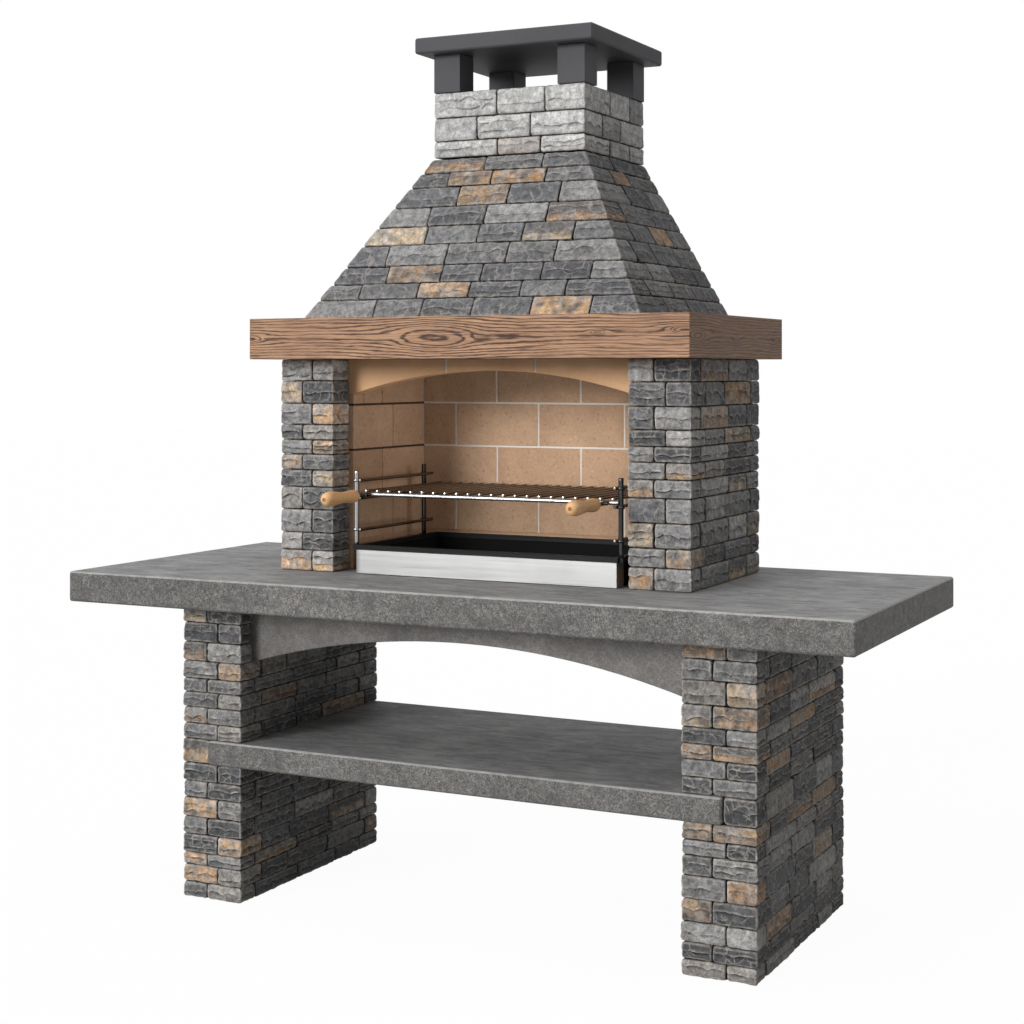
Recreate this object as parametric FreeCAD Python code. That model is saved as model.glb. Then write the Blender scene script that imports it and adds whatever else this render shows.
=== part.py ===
import FreeCAD, Part
import math
import os

os.makedirs("parts", exist_ok=True)

# Masonry barbecue, sizes in millimetres.
# Origin at the bottom centre, +Z up, the hearth mouth faces -Y.

# Worktop, lower shelf and apron
worktop_length = 2000.0
worktop_depth = 862.0
worktop_top = 810.0
worktop_thickness = 75.0
slab_chamfer = 4.0
shelf_bottom = 334.0
shelf_thickness = 60.0
shelf_let_in = 95.0
shelf_proud = 5.0
apron_setback = 54.0
apron_thickness = 50.0
apron_end_height = 147.0
apron_crown_height = 63.0
fit_gap = 1.0

# Legs
leg_inner_x = 575.0
leg_width = 175.0
leg_front_y = -300.0
leg_back_y = 355.0
lower_leg_courses = 8
upper_leg_courses = 5
apron_courses = 3

# Stone cladding
stone_depth = 25.0
stone_joint = 2.0
leg_stone_length = 150.0
pillar_stone_length = 150.0
corner_return = 80.0
back_stone_length = 165.0
hood_stone_length = 140.0
chimney_stone_length = 130.0
joint_stagger = 0.18
joint_jitter = 0.3
course_jitter = 0.5

# Seeds of the stone pattern, one for each clad part
left_leg_seed = 3468
right_leg_seed = 2302
pillar_seed = 1325
back_wall_seed = 29
hood_seed = 240
chimney_seed = 107

# Hearth pillars and back wall
pillar_inner_x = 393.0
pillar_width = 157.0
pillar_height = 527.0
pillar_front_y = -166.0
pillar_courses = 11
masonry_back_y = 390.0
back_wall_thickness = 81.0
back_wall_setback = 40.0

# Firebrick lining and arch
jamb_depth = 82.0
lining_proud = 9.0
brick_depth = 28.0
brick_joint = 5.0
joint_recess = 2.0
brick_length = 242.0
brick_height = 113.5
first_brick_height = 73.0
back_bond_shift = 79.0
side_joint_offsets = (142.0, 196.0)
arch_depth = 50.0
arch_spring_drop = 87.0
arch_crown_drop = 28.0
arch_joint_x = 121.0

# Mantel and lintels
mantel_height = 100.0
mantel_side_overhang = 31.0
mantel_front_overhang = 89.0
mantel_beam_width = 135.0

# Hood, chimney and cap
hood_side_setback = 134.0
hood_front_setback = 38.0
hood_height = 405.0
hood_stone_depth = 22.0
hood_shell = 45.0
hood_courses = 9
chimney_half = 208.0
chimney_front_y = 14.0
chimney_height = 164.0
chimney_courses = 3
flue_wall = 40.0
cap_post = 74.0
cap_post_height = 96.0
cap_overhang = 36.0
cap_thickness = 40.0

# Ember tray, a little right of the middle as it stands in the hearth
tray_offset_x = 20.0
tray_wall_gap = 3.0
tray_back_gap = 30.0
tray_proud = 2.0
tray_height = 71.5
rim_width = 14.0
rim_height = 12.0
tray_sheet = 3.0
fascia_sheet = 2.0
fascia_inset = 4.0
fascia_return = 42.0
fascia_floor_gap = 1.5
runner_width = 30.0
runner_height = 8.0
runner_inset = 111.0

# Grill rack
post_radius = 6.0
post_height = 181.5
post_outset = 2.0
post_from_front = 16.0
post_from_back = 60.0
lug_margin = 2.0
rail_radius = 4.0
rail_overrun_front = 8.0
rail_overrun_back = 22.0
lower_rail_rise = 36.5
upper_rail_rise = 157.5
collar_wall = 3.0
collar_height = 7.0

# Grill
grill_rise = 123.5
grill_from_front = 24.0
grill_from_back = -8.0
grill_rest_from_post = 5.0
grill_rod_radius = 3.0
grill_bar_radius = 5.0
grill_rod_count = 22
grill_rod_inset = 10.0
grill_bar_overrun = 5.0
grill_rod_overrun = 4.0
slide_gap = 0.3

# Handles
handle_inset = 12.0
shank_radius = 5.0
shank_length = 72.0
bolt_radius = 3.5
bolt_length = 17.0
bolt_from_bar = 36.0
tang_length = 102.0
grip_profile = ((0.0, 12.5), (9.0, 15.2), (22.0, 15.6), (43.0, 14.0), (62.0, 13.6), (84.0, 15.4),
                (106.0, 17.8), (120.0, 17.8), (131.0, 15.2), (138.0, 10.5), (142.0, 3.0))

# Round rods, bars and grips have this many sides, flat side down
rod_sides = 8
bar_sides = 12
grip_sides = 16

# Derived levels and planes
worktop_bottom = worktop_top - worktop_thickness
shelf_top = shelf_bottom + shelf_thickness
shelf_half = leg_inner_x + shelf_let_in
leg_outer_x = leg_inner_x + leg_width
apron_front_y = leg_front_y + apron_setback
apron_back_y = apron_front_y + apron_thickness
apron_end_z = worktop_bottom - apron_end_height
pillar_outer_x = pillar_inner_x + pillar_width
pillar_core_x = pillar_inner_x + stone_depth
pillar_back_y = masonry_back_y - back_wall_thickness
back_wall_half = pillar_outer_x - back_wall_setback
mantel_bottom = worktop_top + pillar_height
mantel_top = mantel_bottom + mantel_height
mantel_half = pillar_outer_x + mantel_side_overhang
mantel_front_y = pillar_front_y - mantel_front_overhang
mantel_side_x = mantel_half - mantel_beam_width
lintel_front_y = mantel_front_y + mantel_beam_width
jamb_y = pillar_front_y + jamb_depth
lining_x = pillar_inner_x - lining_proud
lining_back_y = pillar_back_y - lining_proud - stone_depth
arch_back_y = jamb_y + arch_depth
arch_spring_z = mantel_bottom - arch_spring_drop
arch_crown_z = mantel_bottom - arch_crown_drop
hood_base_half = mantel_half - hood_side_setback
hood_base_front_y = mantel_front_y + hood_front_setback
hood_top = mantel_top + hood_height
chimney_top = hood_top + chimney_height
cap_bottom = chimney_top + cap_post_height
lug_half = post_radius + lug_margin
post_x = lining_x - tray_offset_x - tray_wall_gap - lug_half
rim_half = post_x - post_outset
rim_front_y = pillar_front_y - tray_proud
rim_back_y = lining_back_y - tray_back_gap
rim_top = worktop_top + tray_height
rim_bottom = rim_top - rim_height
front_post_y = rim_front_y + post_from_front
rear_post_y = rim_back_y - post_from_back
rail_x = post_x - post_radius - collar_wall - rail_radius
rail_ys = (front_post_y - rail_overrun_front, rear_post_y + rail_overrun_back)
grill_bar_z = rim_top + grill_rise
grill_rod_z = grill_bar_z + grill_bar_radius + grill_rod_radius
grill_front_y = rim_front_y + grill_from_front
grill_edge_y = rim_back_y - grill_from_back
grill_bar_half = rail_x + grill_bar_overrun
grill_rod_span = rail_x - grill_rod_inset
handle_x = grill_rod_span - handle_inset
middle_rail_z = grill_bar_z - grill_bar_radius - slide_gap - rail_radius
rail_levels = (rim_top + lower_rail_rise, middle_rail_z, rim_top + upper_rail_rise)


def save(name, shape):
    shape.exportStep("parts/" + name + ".step")


def vector(x, y, z):
    return FreeCAD.Vector(x, y, z)


def box(xs, ys, zs):
    low = vector(min(xs), min(ys), min(zs))
    return Part.makeBox(abs(xs[1] - xs[0]), abs(ys[1] - ys[0]), abs(zs[1] - zs[0]), low)


def ring(centre, along, radius, sides):
    # Corners of a polygon square to an axis, its flats touching the circle it stands for.
    across = vector(0, 1, 0) if abs(along.x) > abs(along.y) else vector(1, 0, 0)
    up = across.cross(along).normalize()
    reach = radius / math.cos(math.pi / sides)
    corners = []
    for k in range(sides):
        angle = 2 * math.pi * (k + 0.5) / sides
        corners.append(centre + across * (reach * math.cos(angle)) + up * (reach * math.sin(angle)))
    return corners


def outline_face(corners):
    return Part.Face(Part.makePolygon(corners + corners[:1]))


def rod(start, end, radius, sides):
    along = end - start
    return outline_face(ring(start, along, radius, sides)).extrude(along)


def prism_along_z(points, z_low, z_high):
    corners = [vector(x, y, z_low) for x, y in points]
    return outline_face(corners).extrude(vector(0, 0, z_high - z_low))


def stack(rings):
    # Solid through polygons that have the same number of points, in the same order.
    count = len(rings[0])
    faces = [outline_face(rings[0]), outline_face(rings[-1])]
    for low, high in zip(rings, rings[1:]):
        for i in range(count):
            j = (i + 1) % count
            faces.append(outline_face([low[i], low[j], high[j], high[i]]))
    solid = Part.makeSolid(Part.makeShell(faces))
    if solid.Volume < 0:
        solid.reverse()
    return solid


def vary(*keys):
    # Even spread of values from 0 to 1 that depends only on the keys.
    total = sum(key * step for key, step in zip(keys, (12.9898, 78.233, 37.719)))
    return (math.sin(total) * 43758.5453) % 1.0


def course_levels(bottom, top, count, key):
    # Heights of the bed joints of a number of courses that differ a little.
    weights = [1.0 + course_jitter * (vary(i + 1, key) - 0.5) for i in range(count)]
    scale = (top - bottom) / sum(weights)
    levels = [bottom]
    for weight in weights:
        levels.append(levels[-1] + weight * scale)
    levels[-1] = top
    return levels


def split_run(start, end, length, course, key):
    # Stones of about one length that fill a run, with joints staggered by course.
    count = max(1, round((end - start) / length))
    step = (end - start) / count
    stagger = -joint_stagger if course % 2 else joint_stagger
    spread = joint_jitter if count > 2 else 0
    cuts = [start]
    for k in range(1, count):
        jitter = spread * (vary(course + 1, k, key) - 0.5)
        cuts.append(start + step * (k + stagger + jitter))
    cuts.append(end)
    half = stone_joint / 2
    stones = []
    for k in range(count):
        low = cuts[k] + (half if k else 0)
        high = cuts[k + 1] - (half if k < count - 1 else 0)
        stones.append((low, high))
    return stones


def split_side(start, end, length, course, key):
    # Run between two corners: the return of each corner stone and the stones between.
    half = stone_joint / 2
    swing = corner_return * (joint_stagger if course % 2 else -joint_stagger)
    near = start + corner_return + swing
    far = end - corner_return + swing
    middle = split_run(near + half, far - half, length, course, key)
    return [(start, near - half)] + middle + [(far + half, end)]


def bed(levels, course):
    half = stone_joint / 2
    return (levels[course] + half, levels[course + 1] - half)


def corner_stone(x_corner, x_end, y_corner, y_end, zs):
    # L-shaped stone that turns a corner, with one arm along X and one along Y.
    x_in = x_corner + math.copysign(stone_depth, x_end - x_corner)
    y_in = y_corner + math.copysign(stone_depth, y_end - y_corner)
    outline = [(x_corner, y_corner), (x_end, y_corner), (x_end, y_in),
               (x_in, y_in), (x_in, y_end), (x_corner, y_end)]
    return prism_along_z(outline, zs[0], zs[1])


def side_stones(runs, x_face, x_core, zs):
    return [box((x_face, x_core), run, zs) for run in runs]


def leg_course(side, zs, course, key, beside_shelf, beside_apron):
    # One course round a leg: corner stones, then the straight ones between them.
    face_in = side * leg_inner_x
    face_out = side * leg_outer_x
    core_in = side * (leg_inner_x + stone_depth)
    core_out = side * (leg_outer_x - stone_depth)
    outer = split_side(leg_front_y, leg_back_y, leg_stone_length, course, key)
    stones = side_stones(outer[1:-1], face_out, core_out, zs)
    if beside_shelf:
        end = side * (shelf_half + stone_joint)
        stones.append(corner_stone(face_out, end, leg_front_y, outer[0][1], zs))
        stones.append(corner_stone(face_out, end, leg_back_y, outer[-1][0], zs))
        return stones
    if beside_apron:
        inner = split_run(apron_back_y + stone_joint, leg_back_y, leg_stone_length, course, key + 1)
        inner_front = apron_front_y - stone_joint
        middle = inner[:-1]
    else:
        inner = split_side(leg_front_y, leg_back_y, leg_stone_length, course, key + 1)
        inner_front = inner[0][1]
        middle = inner[1:-1]
    stones += side_stones(middle, face_in, core_in, zs)
    front = split_run(leg_inner_x, leg_outer_x, leg_width / 2, course, key + 2)
    back = split_run(leg_inner_x, leg_outer_x, leg_width / 2, course, key + 3)
    stones.append(corner_stone(face_in, side * front[0][1], leg_front_y, inner_front, zs))
    stones.append(corner_stone(face_out, side * front[1][0], leg_front_y, outer[0][1], zs))
    stones.append(corner_stone(face_in, side * back[0][1], leg_back_y, inner[-1][0], zs))
    stones.append(corner_stone(face_out, side * back[1][0], leg_back_y, outer[-1][0], zs))
    return stones


def leg(side, name, key):
    # Blockwork core and stone skin of one leg. side is -1 for the left, 1 for the right.
    core_xs = (side * (leg_inner_x + stone_depth), side * (leg_outer_x - stone_depth))
    strip_xs = (side * (shelf_half + fit_gap), core_xs[1])
    core_ys = (leg_front_y + stone_depth, leg_back_y - stone_depth)
    core = Part.makeCompound([
        box(core_xs, core_ys, (0, shelf_bottom)),
        box(strip_xs, core_ys, (shelf_bottom, shelf_top)),
        box(core_xs, core_ys, (shelf_top, worktop_bottom)),
    ])
    save(name + "_leg_core", core)

    levels = course_levels(0, shelf_bottom, lower_leg_courses, key)
    levels += course_levels(shelf_top, apron_end_z, upper_leg_courses, key + 1)
    levels += course_levels(apron_end_z, worktop_bottom, apron_courses, key + 2)[1:]
    stones = []
    for course in range(len(levels) - 1):
        beside_shelf = levels[course] == shelf_bottom
        beside_apron = levels[course] >= apron_end_z
        stones += leg_course(side, bed(levels, course), course, key, beside_shelf, beside_apron)
    save(name + "_leg_stones", Part.makeCompound(stones))


def slab(xs, ys, zs):
    solid = box(xs, ys, zs)
    return solid.makeChamfer(slab_chamfer, solid.Edges)


def apron():
    # Panel whose lower edge is one arc; its ends stand in pockets of the leg skin.
    half = leg_inner_x + stone_depth - fit_gap
    end_z = apron_end_z - stone_joint / 2
    crown_z = worktop_bottom - apron_crown_height
    y = apron_front_y
    top_left = vector(-half, y, worktop_bottom)
    top_right = vector(half, y, worktop_bottom)
    low_left = vector(-half, y, end_z)
    low_right = vector(half, y, end_z)
    spring_left = vector(-leg_inner_x, y, end_z)
    spring_right = vector(leg_inner_x, y, end_z)
    edges = [
        Part.makeLine(top_left, top_right),
        Part.makeLine(top_right, low_right),
        Part.makeLine(low_right, spring_right),
        Part.Arc(spring_right, vector(0, y, crown_z), spring_left).toShape(),
        Part.makeLine(spring_left, low_left),
        Part.makeLine(low_left, top_left),
    ]
    return Part.Face(Part.Wire(edges)).extrude(vector(0, apron_thickness, 0))


def pillar(side, name, levels, key):
    # Core and stone skin of one hearth pillar. The rear corner returns to the back wall.
    face_in = side * pillar_inner_x
    face_out = side * pillar_outer_x
    core_xs = (side * pillar_core_x, side * (pillar_outer_x - stone_depth))
    front_y = pillar_front_y
    core_ys = (pillar_front_y + stone_depth, pillar_back_y - stone_depth)
    core_zs = (worktop_top, mantel_bottom)
    core = Part.makeCompound([
        box(core_xs, core_ys, core_zs),
        box((core_xs[0], side * back_wall_half), (core_ys[1], pillar_back_y), core_zs),
    ])
    save(name + "_pillar_core", core)

    stones = []
    for course in range(pillar_courses):
        zs = bed(levels, course)
        front = split_run(pillar_inner_x, pillar_outer_x, pillar_width / 2, course + 1, key)
        outer = split_side(front_y, pillar_back_y, pillar_stone_length, course, key + 1)
        stones.append(corner_stone(face_in, side * front[0][1], front_y, jamb_y, zs))
        stones.append(corner_stone(face_out, side * front[1][0], front_y, outer[0][1], zs))
        stones.append(corner_stone(face_out, side * back_wall_half, pillar_back_y, outer[-1][0], zs))
        stones += side_stones(outer[1:-1], face_out, core_xs[1], zs)
    save(name + "_pillar_stones", Part.makeCompound(stones))


def back_wall(levels, key):
    core_half = back_wall_half - stone_depth
    core_back = masonry_back_y - stone_depth
    core = box((-core_half, core_half), (pillar_back_y, core_back), (worktop_top, mantel_bottom))
    save("back_wall_core", core)

    stones = []
    for course in range(pillar_courses):
        zs = bed(levels, course)
        back = split_run(-back_wall_half, back_wall_half, back_stone_length, course, key)
        for run in back[1:-1]:
            stones.append(box(run, (core_back, masonry_back_y), zs))
        stones.append(corner_stone(-back_wall_half, back[0][1], masonry_back_y, pillar_back_y, zs))
        stones.append(corner_stone(back_wall_half, back[-1][0], masonry_back_y, pillar_back_y, zs))
    save("back_wall_stones", Part.makeCompound(stones))


def brick_levels():
    levels = [worktop_top, worktop_top + first_brick_height]
    while levels[-1] + 1.5 * brick_height < mantel_bottom:
        levels.append(levels[-1] + brick_height)
    levels.append(mantel_bottom)
    return levels


def mortar(bricks, xs, ys):
    # Bed behind the bricks and the ribs between them.
    return box(xs, ys, (worktop_top, mantel_bottom)).cut(Part.makeCompound(bricks))


def back_lining():
    levels = brick_levels()
    half = brick_joint / 2
    brick_ys = (lining_back_y, lining_back_y + brick_depth)
    bricks = []
    for course in range(len(levels) - 1):
        zs = (levels[course] + half, levels[course + 1] - half)
        shift = back_bond_shift + (brick_length / 2 if course % 2 else 0)
        first = math.ceil((-lining_x - shift) / brick_length)
        last = math.floor((lining_x - shift) / brick_length)
        cuts = [shift + brick_length * k for k in range(first, last + 1)]
        cuts = [-lining_x] + [x for x in cuts if abs(x) < lining_x - brick_depth] + [lining_x]
        for a, b in zip(cuts, cuts[1:]):
            bricks.append(box((a + half, b - half), brick_ys, zs))
    save("back_firebricks", Part.makeCompound(bricks))
    ys = (lining_back_y + joint_recess, pillar_back_y)
    save("back_mortar", mortar(bricks, (-lining_x, lining_x), ys))


def side_lining(side, name):
    # The front column stops under the arch, which bears on it.
    levels = brick_levels()
    half = brick_joint / 2
    brick_xs = (side * lining_x, side * (lining_x + brick_depth))
    bricks = []
    for course in range(len(levels) - 1):
        zs = (levels[course] + half, levels[course + 1] - half)
        joint_y = jamb_y + side_joint_offsets[course % 2]
        front = jamb_y
        if levels[course + 1] > arch_spring_z:
            front = arch_back_y + half
        if levels[course] + brick_joint < arch_spring_z < levels[course + 1]:
            springer_zs = (levels[course] + half, arch_spring_z)
            bricks.append(box(brick_xs, (jamb_y, arch_back_y - half), springer_zs))
        bricks.append(box(brick_xs, (front, joint_y - half), zs))
        bricks.append(box(brick_xs, (joint_y + half, pillar_back_y), zs))
    save(name + "_firebricks", Part.makeCompound(bricks))
    bed_xs = (side * (lining_x + joint_recess), side * pillar_core_x)
    ribs = mortar(bricks, bed_xs, (jamb_y + joint_recess, pillar_back_y))
    arch_seat = box(bed_xs, (jamb_y, arch_back_y), (arch_spring_z, mantel_bottom))
    save(name + "_mortar", ribs.cut(arch_seat))


def arch_z(x):
    # Height of the arch's soffit circle at x.
    rise = arch_crown_z - arch_spring_z
    radius = (lining_x ** 2 + rise ** 2) / (2 * rise)
    return arch_crown_z - radius + math.sqrt(radius ** 2 - x ** 2)


def arch_piece(x_from, x_to):
    # One piece of the arch, between two upright joints and under the mantel.
    y = jamb_y
    low = max(x_from, -lining_x)
    high = min(x_to, lining_x)
    middle = (low + high) / 2
    points = [vector(low, y, arch_z(low))]
    if low > x_from:
        points.append(vector(x_from, y, arch_spring_z))
    points.append(vector(x_from, y, mantel_bottom))
    points.append(vector(x_to, y, mantel_bottom))
    if high < x_to:
        points.append(vector(x_to, y, arch_spring_z))
    points.append(vector(high, y, arch_z(high)))
    edges = [Part.makeLine(a, b) for a, b in zip(points, points[1:])]
    edges.append(Part.Arc(points[-1], vector(middle, y, arch_z(middle)), points[0]).toShape())
    return Part.Face(Part.Wire(edges)).extrude(vector(0, arch_depth, 0))


def arch():
    half = brick_joint / 2
    save("arch_left", arch_piece(-pillar_core_x, -arch_joint_x - half))
    save("arch_centre", arch_piece(-arch_joint_x + half, arch_joint_x - half))
    save("arch_right", arch_piece(arch_joint_x + half, pillar_core_x))
    joints = []
    for x in (-arch_joint_x, arch_joint_x):
        zs = (arch_z(arch_joint_x - half) + joint_recess, mantel_bottom)
        joints.append(box((x - half, x + half), (jamb_y + joint_recess, arch_back_y), zs))
    save("arch_mortar", Part.makeCompound(joints))


def mantel():
    # Front beam mitred to the two side beams, around a ring of concrete lintels.
    out = mantel_half
    front = mantel_front_y
    inner = mantel_side_x
    zs = (mantel_bottom, mantel_top)
    mitre = [(-out, front), (out, front), (inner, lintel_front_y), (-inner, lintel_front_y)]
    save("mantel_front", prism_along_z(mitre, zs[0], zs[1]))
    for side, name in ((-1, "left"), (1, "right")):
        outline = [(out, front), (out, masonry_back_y), (inner, masonry_back_y), (inner, lintel_front_y)]
        points = [(side * x, y) for x, y in outline]
        save("mantel_" + name, prism_along_z(points, zs[0], zs[1]))
        side_xs = (side * lining_x, side * inner)
        save("lintel_" + name, box(side_xs, (arch_back_y, pillar_back_y), zs))
    save("lintel_front", box((-inner, inner), (lintel_front_y, arch_back_y), zs))
    save("lintel_back", box((-inner, inner), (pillar_back_y, masonry_back_y), zs))


def hood_section(z, depth):
    # Half width, front and back of the hood at height z, a depth inside its stone face.
    t = (z - mantel_top) / hood_height
    side_run = hood_base_half - chimney_half
    front_run = chimney_front_y - hood_base_front_y
    side_slope = math.hypot(side_run, hood_height) / hood_height
    front_slope = math.hypot(front_run, hood_height) / hood_height
    half = hood_base_half - side_run * t - depth * side_slope
    front = hood_base_front_y + front_run * t + depth * front_slope
    return half, front, masonry_back_y - depth


def hood_point(face, s, z, depth):
    # Point of one hood face. s runs along the face and is held between its hips.
    half, front, back = hood_section(z, depth)
    if face in ("front", "back"):
        return vector(max(-half, min(half, s)), front if face == "front" else back, z)
    return vector(half if face == "right" else -half, max(front, min(back, s)), z)


def hood_block(face, run, zs, depths):
    quads = []
    for depth in depths:
        corners = ((run[0], zs[0]), (run[1], zs[0]), (run[1], zs[1]), (run[0], zs[1]))
        quads.append([hood_point(face, s, z, depth) for s, z in corners])
    return stack(quads)


def hood():
    # Four shell panels mitred at the hips, under courses whose end stones turn the hips.
    faces = ("front", "right", "back", "left")
    reach = worktop_length
    shell_depths = (hood_stone_depth, hood_stone_depth + hood_shell)
    for face in faces:
        shell = hood_block(face, (-reach, reach), (mantel_top, hood_top), shell_depths)
        save("hood_shell_" + face, shell)

    levels = course_levels(mantel_top, hood_top, hood_courses, hood_seed)
    stones = {face: [] for face in faces}
    hips = []
    for course in range(hood_courses):
        zs = bed(levels, course)
        half, front, back = hood_section(zs[0], 0)
        rows = {}
        for number, face in enumerate(faces):
            start, end = (-half, half) if face in ("front", "back") else (front, back)
            runs = split_run(start, end, hood_stone_length, course, hood_seed + number)
            rows[face] = [hood_block(face, run, zs, (0, hood_stone_depth)) for run in runs]
            stones[face] += rows[face][1:-1]
        for long_row, end in (("front", 0), ("back", -1)):
            for side_row, corner in (("left", 0), ("right", -1)):
                pair = rows[long_row][corner].fuse(rows[side_row][end])
                hips.append(pair.removeSplitter())
    for face in faces:
        save("hood_stones_" + face, Part.makeCompound(stones[face]))
    save("hood_hip_stones", Part.makeCompound(hips))


def chimney():
    # Four flue walls around the smoke opening, clad on every side.
    core_half = chimney_half - stone_depth
    core_ys = (chimney_front_y + stone_depth, masonry_back_y - stone_depth)
    zs = (hood_top, chimney_top)
    inner_ys = (core_ys[0] + flue_wall, core_ys[1] - flue_wall)
    walls = [box((-core_half, core_half), (core_ys[0], inner_ys[0]), zs),
             box((-core_half, core_half), (inner_ys[1], core_ys[1]), zs)]
    for side in (-1, 1):
        walls.append(box((side * (core_half - flue_wall), side * core_half), inner_ys, zs))
    save("flue_walls", Part.makeCompound(walls))

    levels = course_levels(hood_top, chimney_top, chimney_courses, chimney_seed)
    stones = []
    for course in range(chimney_courses):
        zs = bed(levels, course)
        sides = []
        for side in (-1, 1):
            key = chimney_seed + side
            runs = split_run(chimney_front_y, masonry_back_y, chimney_stone_length, course, key)
            stones += side_stones(runs[1:-1], side * chimney_half, side * core_half, zs)
            sides.append(runs)
        for y_face, y_core, end in ((chimney_front_y, core_ys[0], 0), (masonry_back_y, core_ys[1], -1)):
            key = chimney_seed + 2 + end
            runs = split_run(-chimney_half, chimney_half, chimney_stone_length, course, key)
            stones += [box(run, (y_face, y_core), zs) for run in runs[1:-1]]
            near = 1 if end == 0 else 0
            stones.append(corner_stone(-chimney_half, runs[0][1], y_face, sides[0][end][near], zs))
            stones.append(corner_stone(chimney_half, runs[-1][0], y_face, sides[1][end][near], zs))
    save("chimney_stones", Part.makeCompound(stones))


def cap():
    posts = []
    for side in (-1, 1):
        xs = (side * (chimney_half - cap_post), side * chimney_half)
        posts.append(box(xs, (chimney_front_y, chimney_front_y + cap_post), (chimney_top, cap_bottom)))
        posts.append(box(xs, (masonry_back_y - cap_post, masonry_back_y), (chimney_top, cap_bottom)))
    save("cap_posts", Part.makeCompound(posts))
    half = chimney_half + cap_overhang
    ys = (chimney_front_y - cap_overhang, masonry_back_y + cap_overhang)
    save("cap_slab", slab((-half, half), ys, (cap_bottom, cap_bottom + cap_thickness)))


def tray_box(x_low, x_high, ys, zs):
    return box((tray_offset_x + x_low, tray_offset_x + x_high), ys, zs)


def ember_tray():
    # Welded sheet tray under a square bar rim, on two runners, behind a folded fascia.
    half = rim_half - rim_width / 2
    front = rim_front_y + rim_width / 2
    back = rim_back_y - rim_width / 2
    floor = worktop_top + runner_height
    wall_zs = (floor + tray_sheet, rim_bottom)
    plates = [
        tray_box(-half, half, (front, back), (floor, floor + tray_sheet)),
        tray_box(-half, half, (front, front + tray_sheet), wall_zs),
        tray_box(-half, half, (back - tray_sheet, back), wall_zs),
        tray_box(-half, -half + tray_sheet, (front + tray_sheet, back - tray_sheet), wall_zs),
        tray_box(half - tray_sheet, half, (front + tray_sheet, back - tray_sheet), wall_zs),
    ]
    save("ember_tray", Part.makeCompound(plates))

    runners = []
    for side in (-1, 1):
        x = side * (rim_half - runner_inset)
        runners.append(tray_box(x - runner_width / 2, x + runner_width / 2, (front, back),
                                (worktop_top, floor)))
    save("tray_runners", Part.makeCompound(runners))

    outer = [(-rim_half, rim_front_y), (rim_half, rim_front_y), (rim_half, rim_back_y), (-rim_half, rim_back_y)]
    in_x = rim_half - rim_width
    in_ys = (rim_front_y + rim_width, rim_back_y - rim_width)
    inner = [(-in_x, in_ys[0]), (in_x, in_ys[0]), (in_x, in_ys[1]), (-in_x, in_ys[1])]
    bars = []
    for i in range(4):
        j = (i + 1) % 4
        points = [(tray_offset_x + x, y) for x, y in (outer[i], outer[j], inner[j], inner[i])]
        bars.append(prism_along_z(points, rim_bottom, rim_top))
    for side in (-1, 1):
        for y in (front_post_y, rear_post_y):
            xs = sorted((side * rim_half, side * (post_x + lug_half)))
            bars.append(tray_box(xs[0], xs[1], (y - lug_half, y + lug_half), (rim_bottom, rim_top)))
    save("tray_rim", Part.makeCompound(bars))

    fascia_half = rim_half - fascia_inset
    fascia_y = rim_front_y + fascia_inset
    zs = (worktop_top + fascia_floor_gap, rim_bottom)
    plate = tray_box(-fascia_half, fascia_half, (fascia_y, fascia_y + fascia_sheet), zs)
    return_ys = (fascia_y + fascia_sheet, fascia_y + fascia_return)
    left = tray_box(-fascia_half, -fascia_half + fascia_sheet, return_ys, zs)
    right = tray_box(fascia_half - fascia_sheet, fascia_half, return_ys, zs)
    save("tray_fascia", plate.fuse([left, right]).removeSplitter())


def rack():
    # Four posts on the rim's lugs, three rails a side, welded to collars on the posts.
    posts = []
    rails = []
    collars = []
    for side in (-1, 1):
        px = tray_offset_x + side * post_x
        rx = tray_offset_x + side * rail_x
        for z in rail_levels:
            rails.append(rod(vector(rx, rail_ys[0], z), vector(rx, rail_ys[1], z), rail_radius, rod_sides))
        for y in (front_post_y, rear_post_y):
            foot = vector(px, y, rim_top)
            post = rod(foot, foot + vector(0, 0, post_height), post_radius, rod_sides)
            posts.append(post)
            for z in rail_levels:
                low = vector(px, y, z - collar_height / 2)
                collar = rod(low, low + vector(0, 0, collar_height), post_radius + collar_wall, rod_sides)
                collars.append(collar.cut(post))
    save("rack_posts", Part.makeCompound(posts))
    save("rack_rails", Part.makeCompound(rails))
    save("rack_clips", Part.makeCompound(collars))


def grill_bar(y, half):
    start = vector(tray_offset_x - half, y, grill_bar_z)
    return rod(start, start + vector(2 * half, 0, 0), grill_bar_radius, bar_sides)


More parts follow.
